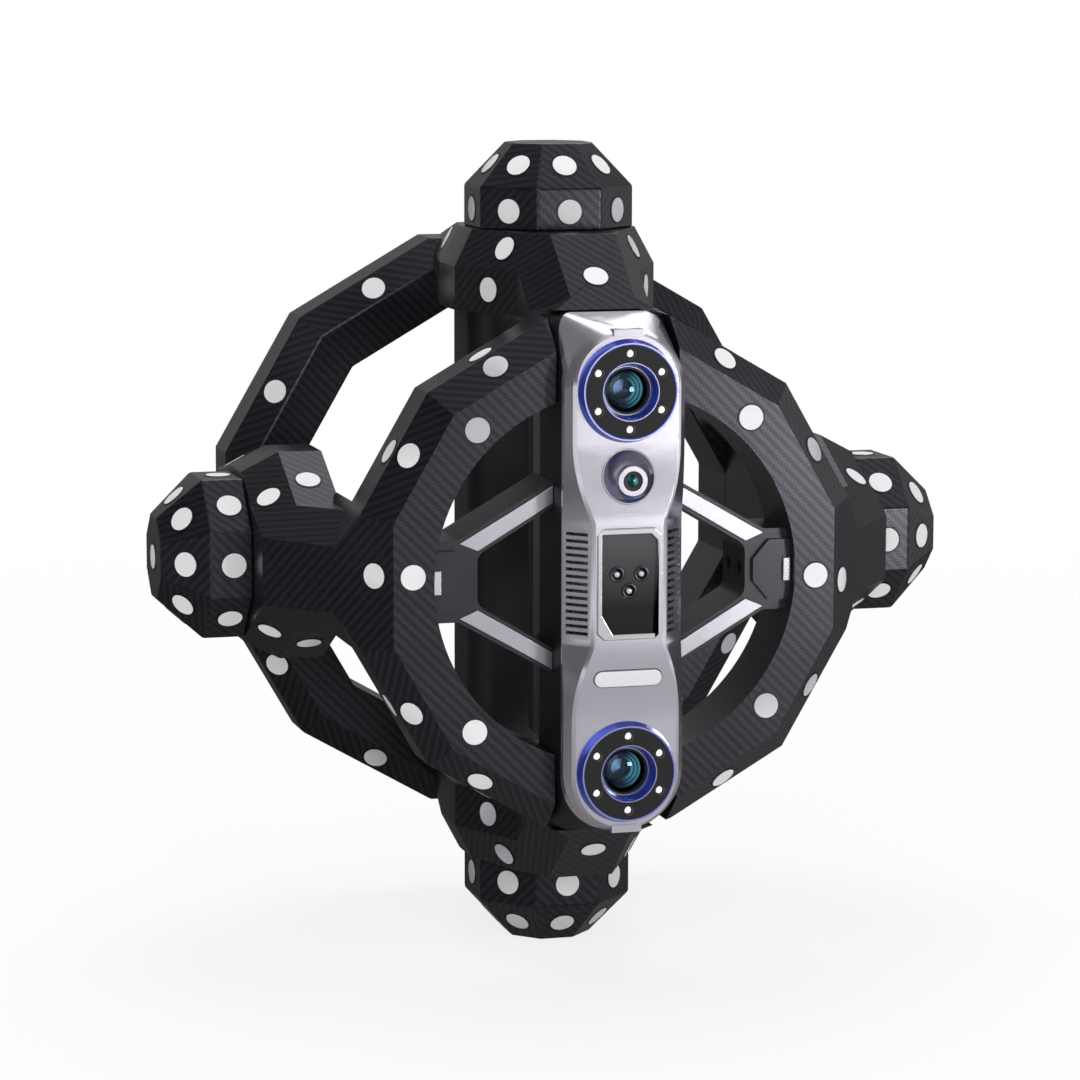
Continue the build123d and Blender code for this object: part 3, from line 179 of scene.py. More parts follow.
def bump(tree, shader, height, depth, strength=1.0):
    """Tilts the shading as if the height, from 0 to 1, stood out by a depth in microns."""
    node = add(tree, "ShaderNodeBump", {"Height": height, "Distance": depth * micron, "Strength": strength})
    tree.links.new(node.outputs["Normal"], shader.inputs["Normal"])


def grained(name, colour, variation, grain, depth, rough, **values):
    """A finish with fine grain: colour and roughness drift slowly, the bump is at the grain's scale."""
    finish, tree, shader = start_finish(name, **values)
    slow = noise(tree, 22.0, 3.0)
    fine = noise(tree, grain)
    mixed = calc(tree, "ADD", calc(tree, "MULTIPLY", slow, 0.6), calc(tree, "MULTIPLY", fine, 0.4))
    dark = tuple(channel * (1.0 - variation) for channel in colour)
    light = tuple(min(channel * (1.0 + variation), 1.0) for channel in colour)
    tree.links.new(ramp(tree, mixed, [(0.3, dark), (0.7, light)]), shader.inputs["Base Color"])
    tree.links.new(spread(tree, mixed, *rough), shader.inputs["Roughness"])
    bump(tree, shader, fine, depth)
    return finish


print("grain helpers ready")

# %% [markdown]
# The cage is moulded from carbon twill, which is woven from flat tows. Each tow passes over two and under
# two, and each row is shifted by one, which draws the diagonal lines. The weave could be modelled thread
# by thread, but at this distance a shader gives the same look for no triangles. With u and v counted in
# tows, a warp tow is on top where the whole parts of u and v add to 0 or 1, modulo 4. Every facet has its
# own u and v in a UV map, because the sheets of weave turn with the facets.

# %% Carbon finish
millimetre = 1e-3
tow_width = 1.05 * millimetre


def uv_axes(tree, uv_map):
    """The numbers of a UV map, as X and Y."""
    uv = add(tree, "ShaderNodeUVMap", {}, uv_map=uv_map).outputs["UV"]
    return add(tree, "ShaderNodeSeparateXYZ", {"Vector": uv}).outputs


def blend(tree, factor, first, second):
    """The first number where the factor is 0, the second where it is 1."""
    return add(tree, "ShaderNodeMix", {"Factor": factor, "A": first, "B": second}).outputs["Result"]


def carbon_weave():
    """Twill: warp and weft differ in shade and gloss, and each tow is crowned like half a sine wave."""
    finish, tree, shader = start_finish("carbon_weave", Specular_Tint=(0.90, 0.87, 1.0))
    axes = uv_axes(tree, "weave")
    u = calc(tree, "DIVIDE", axes["X"], tow_width)
    v = calc(tree, "DIVIDE", axes["Y"], tow_width)
    step = calc(tree, "ADD", calc(tree, "FLOOR", u), calc(tree, "FLOOR", v))
    warp = calc(tree, "LESS_THAN", calc(tree, "FLOORED_MODULO", step, 4.0), 1.5)
    across_u = calc(tree, "SINE", calc(tree, "MULTIPLY", calc(tree, "FRACT", u), math.pi))
    across_v = calc(tree, "SINE", calc(tree, "MULTIPLY", calc(tree, "FRACT", v), math.pi))
    slow = noise(tree, 30.0, 3.0)
    shade = calc(tree, "ADD", calc(tree, "MULTIPLY", warp, 0.4), calc(tree, "MULTIPLY", slow, 0.6))
    colour = ramp(tree, shade, [(0.2, (0.0046, 0.0044, 0.0058)), (0.8, (0.0128, 0.0122, 0.0158))])
    tree.links.new(colour, shader.inputs["Base Color"])
    tree.links.new(spread(tree, warp, 0.44, 0.60), shader.inputs["Specular IOR Level"])
    tree.links.new(spread(tree, slow, 0.24, 0.32), shader.inputs["Roughness"])
    bump(tree, shader, blend(tree, warp, across_v, across_u), 30, strength=0.25)
    return finish


finishes = {"carbon": carbon_weave()}
print("carbon tow:", tow_width / millimetre, "mm")

# %% [markdown]
# The marker dots are reflecting film. Tiny glass beads make it grainy, and some dots are greyer than
# others. One slow noise over the whole cage makes each dot greyer or paler, at random, which is simpler
# than a finish for each dot.

# %% Marker film
def marker_white():
    """Pale film: the slow noise sets how grey each dot is, at random, the fine noise its beads."""
    finish, tree, shader = start_finish("marker_white")
    beads = noise(tree, 5200.0)
    dot_greyness = spread(tree, noise(tree, 15.0, 1.0), 0.0, 1.0, start=0.36, end=0.52)
    shade = calc(tree, "ADD", calc(tree, "MULTIPLY", dot_greyness, 0.8), calc(tree, "MULTIPLY", beads, 0.2))
    colour = ramp(tree, shade, [(0.0, (0.40, 0.395, 0.43)), (0.75, (0.80, 0.80, 0.82))])
    tree.links.new(colour, shader.inputs["Base Color"])
    tree.links.new(spread(tree, beads, 0.4, 0.6), shader.inputs["Roughness"])
    bump(tree, shader, beads, 30)
    return finish


finishes["marker_white"] = marker_white()
print("marker film ready")

# %% [markdown]
# The other finishes are paints, plastics and metals, all with fine grain, so one function makes them. Each
# line names a finish and gives its colour, how much the colour varies, the scale of its grain, the grain's
# depth in microns and its range of roughness. Paints with metal flake are part metallic.

# %% Grained finishes
def keep(name, *grain, **values):
    """Makes a grained finish and keeps it under its name."""
    finishes[name] = grained(name, *grain, **values)


keep("marker_black", (0.004, 0.004, 0.005), 0.3, 2600.0, 20, (0.40, 0.55))
keep("silver_shell", (0.76, 0.74, 0.82), 0.04, 6000.0, 4, (0.15, 0.20), Metallic=0.93)
keep("black_shell", (0.007, 0.007, 0.009), 0.25, 3000.0, 30, (0.40, 0.52), Specular_IOR_Level=0.3)
keep("pale_aluminium", (0.60, 0.60, 0.64), 0.06, 4500.0, 20, (0.34, 0.44), Metallic=1.0)
keep("satin_aluminium", (0.47, 0.46, 0.51), 0.14, 2600.0, 20, (0.24, 0.34), Metallic=1.0)
keep("blue_anodised", (0.07, 0.10, 0.58), 0.12, 4000.0, 8, (0.16, 0.26), Metallic=0.65)
# Pale lavender metal for the camera cups' lips: a real proud edge with a painted highlight colour
keep("lip_painted_highlight", (0.55, 0.56, 0.72), 0.05, 4000.0, 4, (0.16, 0.24), Metallic=1.0)
keep("charcoal", (0.009, 0.0088, 0.010), 0.15, 3600.0, 30, (0.50, 0.62), Specular_IOR_Level=0.3)
keep("polished_chrome", (0.86, 0.86, 0.89), 0.03, 900.0, 2, (0.08, 0.16), Metallic=1.0)
# A darker, violet-tinted copy of the polished chrome: painted shade and reflection for the dish's bowl
keep("dish_chrome_painted_shade", (0.40, 0.40, 0.48), 0.04, 900.0, 2, (0.10, 0.16), Metallic=1.0)
keep("dark_chrome", (0.05, 0.05, 0.058), 0.08, 2500.0, 4, (0.20, 0.30), Metallic=1.0)
keep("gloss_black", (0.0025, 0.0025, 0.003), 0.3, 300.0, 2, (0.05, 0.11))
# Pale caps in the laser windows: a real inner lens, made pale as a painted glint of the lamps
keep("laser_eye_painted_glint", (0.62, 0.62, 0.65), 0.06, 2500.0, 4, (0.16, 0.24), Metallic=0.3)
keep("barrel_black", (0.02, 0.02, 0.026), 0.15, 3200.0, 10, (0.22, 0.32), Metallic=0.6)
keep("plate_bright", (0.86, 0.86, 0.89), 0.03, 3000.0, 10, (0.28, 0.36), Metallic=0.3)
keep("chassis_grey", (0.22, 0.22, 0.245), 0.08, 4500.0, 20, (0.28, 0.38), Metallic=1.0)
keep("dark_paint", (0.034, 0.033, 0.040), 0.2, 3600.0, 20, (0.24, 0.34), Metallic=0.5)
keep("brass", (0.58, 0.40, 0.15), 0.08, 2500.0, 10, (0.25, 0.35), Metallic=1.0)
keep("circuit_board", (0.010, 0.075, 0.035), 0.2, 1200.0, 20, (0.30, 0.45))
keep("screw_steel", (0.34, 0.34, 0.36), 0.1, 4200.0, 10, (0.25, 0.38), Metallic=1.0)
keep("black_steel", (0.03, 0.03, 0.034), 0.15, 4200.0, 10, (0.30, 0.42), Metallic=1.0)
keep("grip_plastic", (0.014, 0.014, 0.017), 0.2, 2200.0, 50, (0.42, 0.55))
keep("key_silver", (0.40, 0.40, 0.43), 0.06, 4500.0, 10, (0.30, 0.40), Metallic=0.6)
keep("key_grey", (0.05, 0.05, 0.054), 0.12, 3200.0, 20, (0.40, 0.50))
keep("mark_white", (0.62, 0.62, 0.64), 0.05, 3000.0, 10, (0.40, 0.50))
print("finishes so far:", len(finishes))

# %% [markdown]
# The camera lenses are clear glass with a thin coating. The coating could be a plain tint, but a thin film
# in the shader changes its colour with the angle, as a real one does. The diodes round the lenses are
# white and glow a little, as they do when the scanner is on.

# %% Lens glass and diodes
def coated_glass():
    """Clear glass under a thin film, with a trace of polish marks in its roughness."""
    finish, tree, shader = start_finish(
        "coated_glass", Base_Color=(0.75, 0.85, 0.95), IOR=1.52, Transmission_Weight=1.0,
        Thin_Film_Thickness=172.0, Thin_Film_IOR=1.38)
    tree.links.new(spread(tree, noise(tree, 160.0), 0.01, 0.04), shader.inputs["Roughness"])
    return finish


def diode_white():
    """White caps that shine a little of their own light."""
    finish, tree, shader = start_finish("diode_white", Emission_Color=(1.0, 1.0, 1.0), Emission_Strength=0.7)
    colour = ramp(tree, noise(tree, 900.0), [(0.3, (0.84, 0.84, 0.86)), (0.7, (0.95, 0.95, 0.97))])
    tree.links.new(colour, shader.inputs["Base Color"])
    tree.links.new(spread(tree, noise(tree, 500.0), 0.12, 0.2), shader.inputs["Roughness"])
    return finish


finishes.update(coated_glass=coated_glass(), led_white=diode_white())
print("lens glass and diode finish ready")

# %% [markdown]
# Behind the front lens there are more coated glasses, and the light that is caught between them draws blue
# and green arcs. To trace that light takes very many samples. The coated surfaces carry a painted glow on
# one side instead, a painted reflection of those arcs and of the glint on the iris glass, which is free of
# speckle and costs nothing.

# %% Lens coatings
def coating(name, colour, tint, rough, painted_glow_angle, glow):
    """Dark glass behind the front lens. Its reflections take the coating's tint, and a painted glow, standing
    in for reflected light, lies round a given angle, in turns from the right: glow x smoothstep of the
    cosine of the angle from there."""
    finish, tree, shader = start_finish(name, IOR=1.7, Specular_Tint=tint, Emission_Color=tint)
    away = calc(tree, "SUBTRACT", uv_axes(tree, "turn")["X"], painted_glow_angle)
    nearness = calc(tree, "COSINE", calc(tree, "MULTIPLY", away, 2.0 * math.pi))
    # Painted glow: emission that stands in for light reflected between the lens glasses
    painted_glow_strength = spread(tree, nearness, 0.0, glow, start=0.1, kind="SMOOTHSTEP")
    tree.links.new(painted_glow_strength, shader.inputs["Emission Strength"])
    dark = tuple(channel * 0.5 for channel in colour)
    tree.links.new(ramp(tree, noise(tree, 300.0), [(0.3, dark), (0.7, colour)]), shader.inputs["Base Color"])
    tree.links.new(spread(tree, noise(tree, 700.0), rough, rough + 0.04), shader.inputs["Roughness"])
    return finish


# Teal glass with painted arcs of reflected light on its right, blue iris glass with a painted glint upper
# left
teal_glass_painted_arcs = coating("teal_glass_painted_arcs", (0.002, 0.012, 0.016), (0.22, 0.80, 0.95), 0.14, 0.98, 0.26)
blue_glass_painted_glint = coating("blue_glass_painted_glint", (0.003, 0.007, 0.022), (0.40, 0.62, 1.0), 0.05, 0.40, 0.42)
print("coatings:", teal_glass_painted_arcs.name, blue_glass_painted_glint.name)

# %% [markdown]
# The laser window is a panel of smoked plastic. Its colour fades from grey at its top to black: a painted
# reflection at the top and painted shade below. Nothing can be made out behind the panel, so a ramp over
# its height is enough.

# %% Smoked window
def window_painted_reflection(lowest, highest):
    """The laser window: a painted reflection, smoke grey at the top, and painted shade, black from the middle
    down.
    """
    finish, tree, shader = start_finish("window_painted_reflection", Specular_IOR_Level=0.4)
    level = add(tree, "ShaderNodeSeparateXYZ", {"Vector": object_coordinates(tree)}).outputs["Z"]
    share = spread(tree, level, 0.0, 1.0, start=lowest, end=highest)
    # Painted reflection grey at the top, painted shade black below
    colour = ramp(tree, share, [(0.25, (0.004, 0.004, 0.005)), (0.95, (0.075, 0.073, 0.08))])
    tree.links.new(colour, shader.inputs["Base Color"])
    tree.links.new(spread(tree, noise(tree, 300.0), 0.06, 0.12), shader.inputs["Roughness"])
    return finish


finishes["window_painted_reflection"] = window_painted_reflection(*(corner[2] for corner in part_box("laser_panel")))
print("finishes:", len(finishes))

# %% [markdown]
# Every node of the imported model names a slot, and most slots have a finish of the same name. A few pieces
# share a slot but look different on the real scanner, so they get a finish of their own.

# %% Finish every node
# The own finishes of the dish and the laser window carry painted shade and painted reflection.
own_finish = {"bar_chassis": "chassis_grey", "texture_dish": "dish_chrome_painted_shade", "name_plate": "plate_bright",
              "upper_lens_barrel": "barrel_black", "lower_lens_barrel": "barrel_black",
              "laser_panel": "window_painted_reflection"}
finish_of = {name: finishes[own_finish.get(name, slot_name)] for name, slot_name in slot_of.items()}
for name, cad_object in nodes.items():
    if not cad_object.material_slots:
        cad_object.data.materials.append(finish_of[name])
    for material_slot in cad_object.material_slots:
        material_slot.material = finish_of[name]
print("finished nodes:", len(nodes))

# %% [markdown]
# The sheets of weave are laid facet by facet, and the tows run along each one. Blender's Unwrap would turn
# the facets at random. The map is worked out from the normals instead: u runs along the facet, square to
# the scanner's depth axis, and v runs across it. Both are in metres, so a tow is equally wide everywhere.

# %% Weave map
def weave_map(mesh):
    """Per-facet UV in metres: u = position . (depth axis x normal), v = position . (normal x u)."""
    count = len(mesh.polygons)
    normals = np.empty(count * 3)
    mesh.polygons.foreach_get("normal", normals)
    normals = normals.reshape(-1, 3)
    flat = np.abs(normals[:, 1:2]) > 0.98
    reference = np.where(flat, (0.0, 0.0, 1.0), (0.0, 1.0, 0.0))
    u_axis = np.cross(reference, normals)
    u_axis /= np.linalg.norm(u_axis, axis=1, keepdims=True)
    v_axis = np.cross(normals, u_axis)
    totals = np.empty(count, dtype=np.int32)
    mesh.polygons.foreach_get("loop_total", totals)
    owner = np.repeat(np.arange(count), totals)
    corner = np.empty(len(mesh.loops), dtype=np.int32)
    mesh.loops.foreach_get("vertex_index", corner)
    points = np.empty(len(mesh.vertices) * 3)
    mesh.vertices.foreach_get("co", points)
    points = points.reshape(-1, 3)[corner]
    uv = np.stack([(points * u_axis[owner]).sum(1), (points * v_axis[owner]).sum(1)], axis=1)
    mesh.uv_layers.new(name="weave").data.foreach_set("uv", uv.ravel())


print("weave map ready")

# %% [markdown]
# Real mouldings have no knife edges: each facet meets the next over a small radius, and that radius draws
# a thin bright line. The solids could carry the radius, but it is a matter of looks, so a merged copy of
# the solid gets a Bevel modifier for it. The copy stands for its node: it rides on the same body and keeps
# the same finish.

# %% Softened copies
flat_within = math.radians(0.2)


def softened(name, radius, crease):
    """A merged copy of a CAD node whose edges sharper than the crease are rounded; it stands for the node."""
    bm = bmesh.new()
    bm.from_mesh(nodes[name].data)
    bmesh.ops.remove_doubles(bm, verts=bm.verts, dist=micron)
    bmesh.ops.dissolve_limit(bm, angle_limit=flat_within, verts=bm.verts, edges=bm.edges)
    mesh = bpy.data.meshes.new("soft_" + name)
    bm.to_mesh(mesh)
    bm.free()
    if "custom_normal" in mesh.attributes:
        mesh.attributes.remove(mesh.attributes["custom_normal"])
    mesh.shade_smooth()
    mesh.set_sharp_from_angle(angle=math.radians(crease))
    weave_map(mesh)
    piece = bpy.data.objects.new("soft_" + name, mesh)
    bpy.context.scene.collection.objects.link(piece)
    mesh.materials.clear()
    mesh.materials.append(finish_of[name])
    bevel = piece.modifiers.new("edge", "BEVEL")
    bevel.width = radius * millimetre
    bevel.segments = 3
    bevel.limit_method = "ANGLE"
    bevel.angle_limit = math.radians(crease)
    bevel.harden_normals = True
    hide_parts(name)
    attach(piece, body_of[name])
    return piece


edge_radius = {name: 0.7 for name, slot_name in slot_of.items() if slot_name == "carbon"}
edge_radius.update(
    bar_front_shell=0.3, bar_rear_shell=0.4, bar_chassis=0.3, bar_back_cover=0.4, projector_frame=0.4,
    name_plate=0.3, left_strut=0.4, right_strut=0.4, strut_inlays=0.3, hub_clips=0.3,
    handle_front_shell=0.4, handle_rear_shell=0.4, key_panel=0.3,
    scan_button=0.6, plus_button=0.5, minus_button=0.5, mode_button=0.5)
crease_angle, usual_crease = {"carbon": 20.0, "silver_shell": 14.0}, 28.0
for name, radius in edge_radius.items():
    piece = softened(name, radius, crease_angle.get(slot_of[name], usual_crease))
    print(piece.name, "faces:", len(piece.data.polygons))

# %% [markdown]
# The small parts of the optics, the screw heads and the key marks are added as new pieces. Each could be a
# primitive from the Add menu, scaled into place. A mesh from arrays of points and faces needs no scaling,
# and it can hold many copies of one part. Points that meet at a pole or a seam are merged, and the piece
# is told which body it rides on.

# %% Pieces from arrays
smooth_below = math.radians(35.0)


def add_piece(name, points, quads, uv, finish, slot_name, body="scanner", replaced=()):
    """Makes a mesh from arrays, merges its poles and seams, and puts it on its body."""
    mesh = bpy.data.meshes.new(name)
    mesh.from_pydata(points.tolist(), [], quads.tolist())
    mesh.uv_layers.new(name="turn").data.foreach_set("uv", uv.ravel())
    bm = bmesh.new()
    bm.from_mesh(mesh)
    bmesh.ops.remove_doubles(bm, verts=bm.verts, dist=1e-8)
    bm.to_mesh(mesh)
    bm.free()
    mesh.shade_smooth()
    mesh.set_sharp_from_angle(angle=smooth_below)
    mesh.materials.append(finish)
    piece = bpy.data.objects.new(name, mesh)
    bpy.context.scene.collection.objects.link(piece)
    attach(piece, body)
    if replaced:
        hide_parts(*replaced)
    return piece


print("edges are smooth below", round(math.degrees(smooth_below)), "degrees")

# %% [markdown]
# Rings, sleeves, domes and bowls are turned on a lathe. A Screw modifier could turn a drawn profile. Here
# the profile of radius and depth is carried round its axis in numpy, for all its places at once, so that
# the twelve diode sleeves share one mesh. The same lathe can follow a hexagon, for the sockets of screws,
# or pull its halves apart, for slots and bars.

# %% Turned pieces
# Across, up and inwards for a turned part that faces each way
facings = {"front": ((1, 0, 0), (0, 0, 1), (0, 1, 0)), "back": ((-1, 0, 0), (0, 0, 1), (0, -1, 0)),
           "left": ((0, 0, 1), (0, 1, 0), (1, 0, 0)), "right": ((0, 1, 0), (0, 0, 1), (-1, 0, 0)),
           "back_upright": ((0, 0, 1), (1, 0, 0), (0, -1, 0))}


def turned(name, profile, centres, finish, slot_name, segments=72, facing="front", hexed=(), stretch=0.0,
           **belongs):
    """A lathe: point = centre + r cos a across + r sin a up + depth inwards, for each (r, depth) of the
    profile in millimetres and each centre. A profile that runs outwards from the axis faces the viewer.
    Rows named in hexed follow a hexagon, r cos 30 / cos(a within its side), and stretch pulls the two
    halves apart into a slot. The UV is the share of a turn and the share of the profile."""
    radius, depth = np.array(profile, float).T * millimetre
    across, up_axis, inwards = np.array(facings.get(facing, facing), float)
    angle = (np.arange(segments) + 0.5) * 2.0 * np.pi / segments
    side = np.cos(np.pi / 6) / np.cos(angle % (np.pi / 3) - np.pi / 6)
    is_hexed = np.isin(np.arange(len(radius)), hexed)[:, None]
    reach = radius[:, None] * np.where(is_hexed, side, 1.0)
    apart = stretch * millimetre * np.sign(np.cos(angle)) * (radius[:, None] > 0.0)
    one = ((reach * np.cos(angle) + apart)[..., None] * across + (reach * np.sin(angle))[..., None] * up_axis
           + depth[:, None, None] * inwards)
    middles = np.array([centre if len(centre) == 3 else (centre[0], 0.0, centre[1]) for centre in centres])
    points = (middles[:, None, None, :] + one).reshape(-1, 3)
    row, column = np.meshgrid(np.arange(len(radius) - 1), np.arange(segments), indexing="ij")
    rows = np.stack([row, row + 1, row + 1, row], axis=-1).reshape(-1, 4)
    columns = np.stack([column, column, column + 1, column + 1], axis=-1).reshape(-1, 4)
    starts = np.arange(len(middles)) * len(radius) * segments
    quads = (starts[:, None, None] + rows * segments + columns % segments).reshape(-1, 4)
    uv = np.stack([columns / segments, rows / (len(radius) - 1)], axis=-1)
    uv = np.broadcast_to(uv, (len(middles), *uv.shape))
    return add_piece(name, points, quads, uv, finish, slot_name, **belongs)


print("the lathe can face", ", ".join(facings))

# %% [markdown]
# Each camera sits in a blue cup. Thin pale rings on its front lips are partly real edges and partly painted
# highlights: pale lavender metal where the lips' edges catch the light. A second finish on the cup's edge
# could show them, but a turned ring a twentieth of a millimetre proud also catches the light on its own
# edge. The mouth of the lens barrel has such a ring too. The boxes of the nodes give the rings their places.

# %% Camera rings
def middle(node):
    """The (x, z) middle of a node's box."""
    low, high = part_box(node)
    return ((low[0] + high[0]) / 2, (low[2] + high[2]) / 2)


def front_of(node):
    """The depth of a node's front, in millimetres."""
    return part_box(node)[0][1] / millimetre


cameras = [middle("upper_camera_bezel"), middle("lower_camera_bezel")]
lip_painted_highlight = finishes["lip_painted_highlight"]
lip = front_of("upper_camera_bezel")
for name, inner, outer in (("outer_lips", 16.8, 17.22), ("inner_lips", 10.12, 10.37)):
    ring = [(inner, lip - 0.06), (outer, lip - 0.06), (outer, lip + 0.05), (inner, lip + 0.05),
            (inner, lip - 0.06)]
    turned(name, ring, cameras, lip_painted_highlight, "satin_aluminium", segments=96)
barrel_mouth = front_of("upper_lens_barrel")
barrel_lip = [(8.45, barrel_mouth - 0.04), (8.72, barrel_mouth - 0.04), (8.78, barrel_mouth + 0.05),
              (8.45, barrel_mouth + 0.05), (8.45, barrel_mouth - 0.04)]
turned("barrel_lips", barrel_lip, cameras, lip_painted_highlight, "satin_aluminium", segments=96)
print("lips at depth", round(lip, 2), "mm")

# %% [markdown]
# The diodes stand in holes of the dark light disc. Each hole is lined with a black sleeve, so that the
# diode's light doesn't leak sideways. A dark ring could be painted round each hole, but the sleeve's rim
# has depth, and that is what parts the white cap from the disc in the photo.

# %% Diode sleeves
def six_round(x, z, radius):
    """Six places round a middle, the first above it, at a radius in millimetres."""
    angle = np.arange(6) * np.pi / 3
    return list(zip(x + radius * millimetre * np.sin(angle), z + radius * millimetre * np.cos(angle)))


diode_circle = 13.4
disc_front, disc_back = (corner[1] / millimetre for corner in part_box("upper_led_disc"))
diodes = [place for x, z in cameras for place in six_round(x, z, diode_circle)]
sleeve = [(1.31, disc_back - 0.06), (1.66, disc_back - 0.06), (1.68, disc_front - 0.03),
          (1.74, disc_front - 0.03), (1.74, disc_back), (1.31, disc_back), (1.31, disc_back - 0.06)]
turned("diode_sleeves", sleeve, diodes, finishes["marker_black"], "charcoal", segments=32)
print("sleeves:", len(diodes))

# %% [markdown]
# Glass bends the light at every facet, so a front lens from the coarse mesh of the solid shows wavy
# streaks. A Subdivision modifier would round its rim as well. The lens is turned again here as a fine
# spherical cap on a cylinder, from the solid's own sizes: depth = front + R - root of (R squared - r
# squared), where R is the radius of the sphere.

# %% Front lenses
glass_low, glass_high = np.array(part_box("upper_lens")) / millimetre
glass_radius, glass_front, glass_back = (glass_high[0] - glass_low[0]) / 2, glass_low[1], glass_high[1]
cap_height = 2.0
sphere_radius = (glass_radius ** 2 + cap_height ** 2) / (2 * cap_height)
cap_reach = np.linspace(0.0, glass_radius, 28)
cap_depth = glass_front + sphere_radius - np.sqrt(sphere_radius ** 2 - cap_reach ** 2)
front_lens = [*zip(cap_reach, cap_depth), (glass_radius, glass_back), (0.0, glass_back)]
turned("front_lenses", front_lens, cameras, finishes["coated_glass"], "coated_glass", segments=144,
       replaced=("upper_lens", "lower_lens"))
print("front lens radius:", round(glass_radius, 2), "mm; sphere:", round(sphere_radius, 2), "mm")

# %% [markdown]
# Behind the front lens lies a stack of coated glass edges and black retaining rings, each deeper than the
# last. A picture of a lens could be laid behind the glass, but real rings shift against each other as the
# view turns. Every coated edge leans inwards by a few degrees, and the rings, with the painted glow of
# their coating, draw the green-blue arcs. In the middle is the domed iris glass, with a painted blue glint
# on its upper left.

# %% Lens insides
def domed(reach, front, sag, rows):
    """The profile of a dome: depth = front + sag (r / reach) squared."""
    radius = np.linspace(0.0, reach, rows)
    return np.stack([radius, front + sag * (radius / reach) ** 2], axis=1)


edge_width, edge_lean = 0.85, math.radians(14.0)
edge_outer = np.array([6.35, 5.2, 4.1])
edge_inner = edge_outer - edge_width
edge_depth = glass_back + np.array([0.35, 1.05, 1.75])
lean = math.tan(edge_lean) * (edge_outer - edge_inner)
for number, (outer, inner, deep, rise) in enumerate(zip(edge_outer, edge_inner, edge_depth, lean), 1):
    edge = [(inner, deep + rise), (outer, deep)]
    turned(f"lens_edges_{number}", edge, cameras, teal_glass_painted_arcs, "coated_glass", segments=96)
    step = [(inner - 0.3, deep + rise + 0.5), (inner - 0.28, deep + rise - 0.05), (inner + 0.02, deep + rise)]
    turned(f"lens_steps_{number}", step, cameras, finishes["marker_black"], "black_shell", segments=96)
pupil = domed(3.0, glass_back + 2.0, 0.9, 10)
turned("lens_pupils", pupil, cameras, blue_glass_painted_glint, "coated_glass", segments=64)
print("lens insides from depth", round(glass_back, 2), "mm")

# %% [markdown]
# The dish of the small colour camera leans with the bar's bowed face, and so does the name plate. Their
# angle could be copied from the drawing, but then it would be wrong when the bar changes. Their backs are
# flat, so the mean normal of the back gives each one its axis. The dish gets a bright rim and the plate a
# dark groove.

# %% Dish rim and plate groove
def leaning(node):
    """The axes of a flat-backed piece that leans, from its back's mean normal, and its front's middle."""
    mesh = nodes[node].data
    normals, areas = np.empty(len(mesh.polygons) * 3), np.empty(len(mesh.polygons))
    points = np.empty(len(mesh.vertices) * 3)
    mesh.polygons.foreach_get("normal", normals)
    mesh.polygons.foreach_get("area", areas)
    mesh.vertices.foreach_get("co", points)
    normals, points = normals.reshape(-1, 3), points.reshape(-1, 3)
    inwards = (normals * (areas * (normals[:, 1] > 0.9))[:, None]).sum(0)
    inwards /= np.linalg.norm(inwards)
    box_middle = np.mean(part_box(node), axis=0)
    front = box_middle + ((points @ inwards).min() - box_middle @ inwards) * inwards
    across = np.array((1.0, 0.0, 0.0))
    return tuple(map(tuple, (across, np.cross(across, inwards), inwards))), front


dish_axes, dish_front = leaning("texture_dish")
dish_rim = [(9.25, 0.1), (9.35, -0.06), (9.72, -0.06), (9.8, 0.06)]
turned("dish_rim", dish_rim, [dish_front], finishes["polished_chrome"], "polished_chrome", facing=dish_axes)
plate_axes, plate_front = leaning("name_plate")
plate_low, plate_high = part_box("name_plate")
plate_half_length, plate_end_radius = (plate_high[0] - plate_low[0]) / (2 * millimetre), 2.9
plate_groove = [(2.88, 0.95), (2.92, 0.8), (3.2, 0.8), (3.3, 0.95)]
turned("plate_groove", plate_groove, [plate_front], finishes["marker_black"], "black_shell",
       facing=plate_axes, stretch=plate_half_length - plate_end_radius)
print("dish leans", round(math.degrees(math.asin(dish_axes[2][2])), 2), "degrees")

# %% [markdown]
# The colour camera looks out of the dish through a small bright barrel. A black ring in its mouth stops
# stray light, and a little domed glass with the teal coating sits inside the ring; the coating's painted
# glow on its right stands for reflected light. Both are turned on the axis of the lens.

# %% Colour camera
colour_camera = [middle("texture_lens")]
eye_mouth = front_of("texture_lens")
stop_ring = [(2.0, eye_mouth - 0.02), (2.2, eye_mouth - 0.35), (3.3, eye_mouth - 0.45),
             (3.58, eye_mouth - 0.05)]
turned("colour_camera_stop", stop_ring, colour_camera, finishes["marker_black"], "black_shell")
turned("colour_camera_eye", domed(2.1, eye_mouth - 0.5, 0.45, 9), colour_camera, teal_glass_painted_arcs, "coated_glass")
print("colour camera at", tuple(round(value, 4) for value in colour_camera[0]))

# %% [markdown]
# Three lasers look out of the smoked panel. Each has a dark domed window with a pale eye, in a turned rim.
# The eye is partly a real inner lens, partly a painted glint: its pale colour stands for the lamps' glint.
# They stand for the plain discs of the solids, which would look like painted spots.

# %% Laser windows
panel_front = front_of("laser_panel")
# How far the lasers are from the middle of the bar, in metres
laser_aside, upper_laser, lower_laser = 0.0045, 0.0035, -0.0025
lasers = [(-laser_aside, cage_centre.z + upper_laser), (laser_aside, cage_centre.z + upper_laser),
          (0.0, cage_centre.z + lower_laser)]
turned("laser_domes", domed(1.95, panel_front - 0.35, 0.65, 9), lasers, finishes["gloss_black"],
       "coated_glass", segments=48, replaced=("laser_lenses",))
eye_cap = [(0.0, panel_front - 0.56), (0.45, panel_front - 0.53), (0.78, panel_front - 0.44),
           (0.95, panel_front - 0.25)]
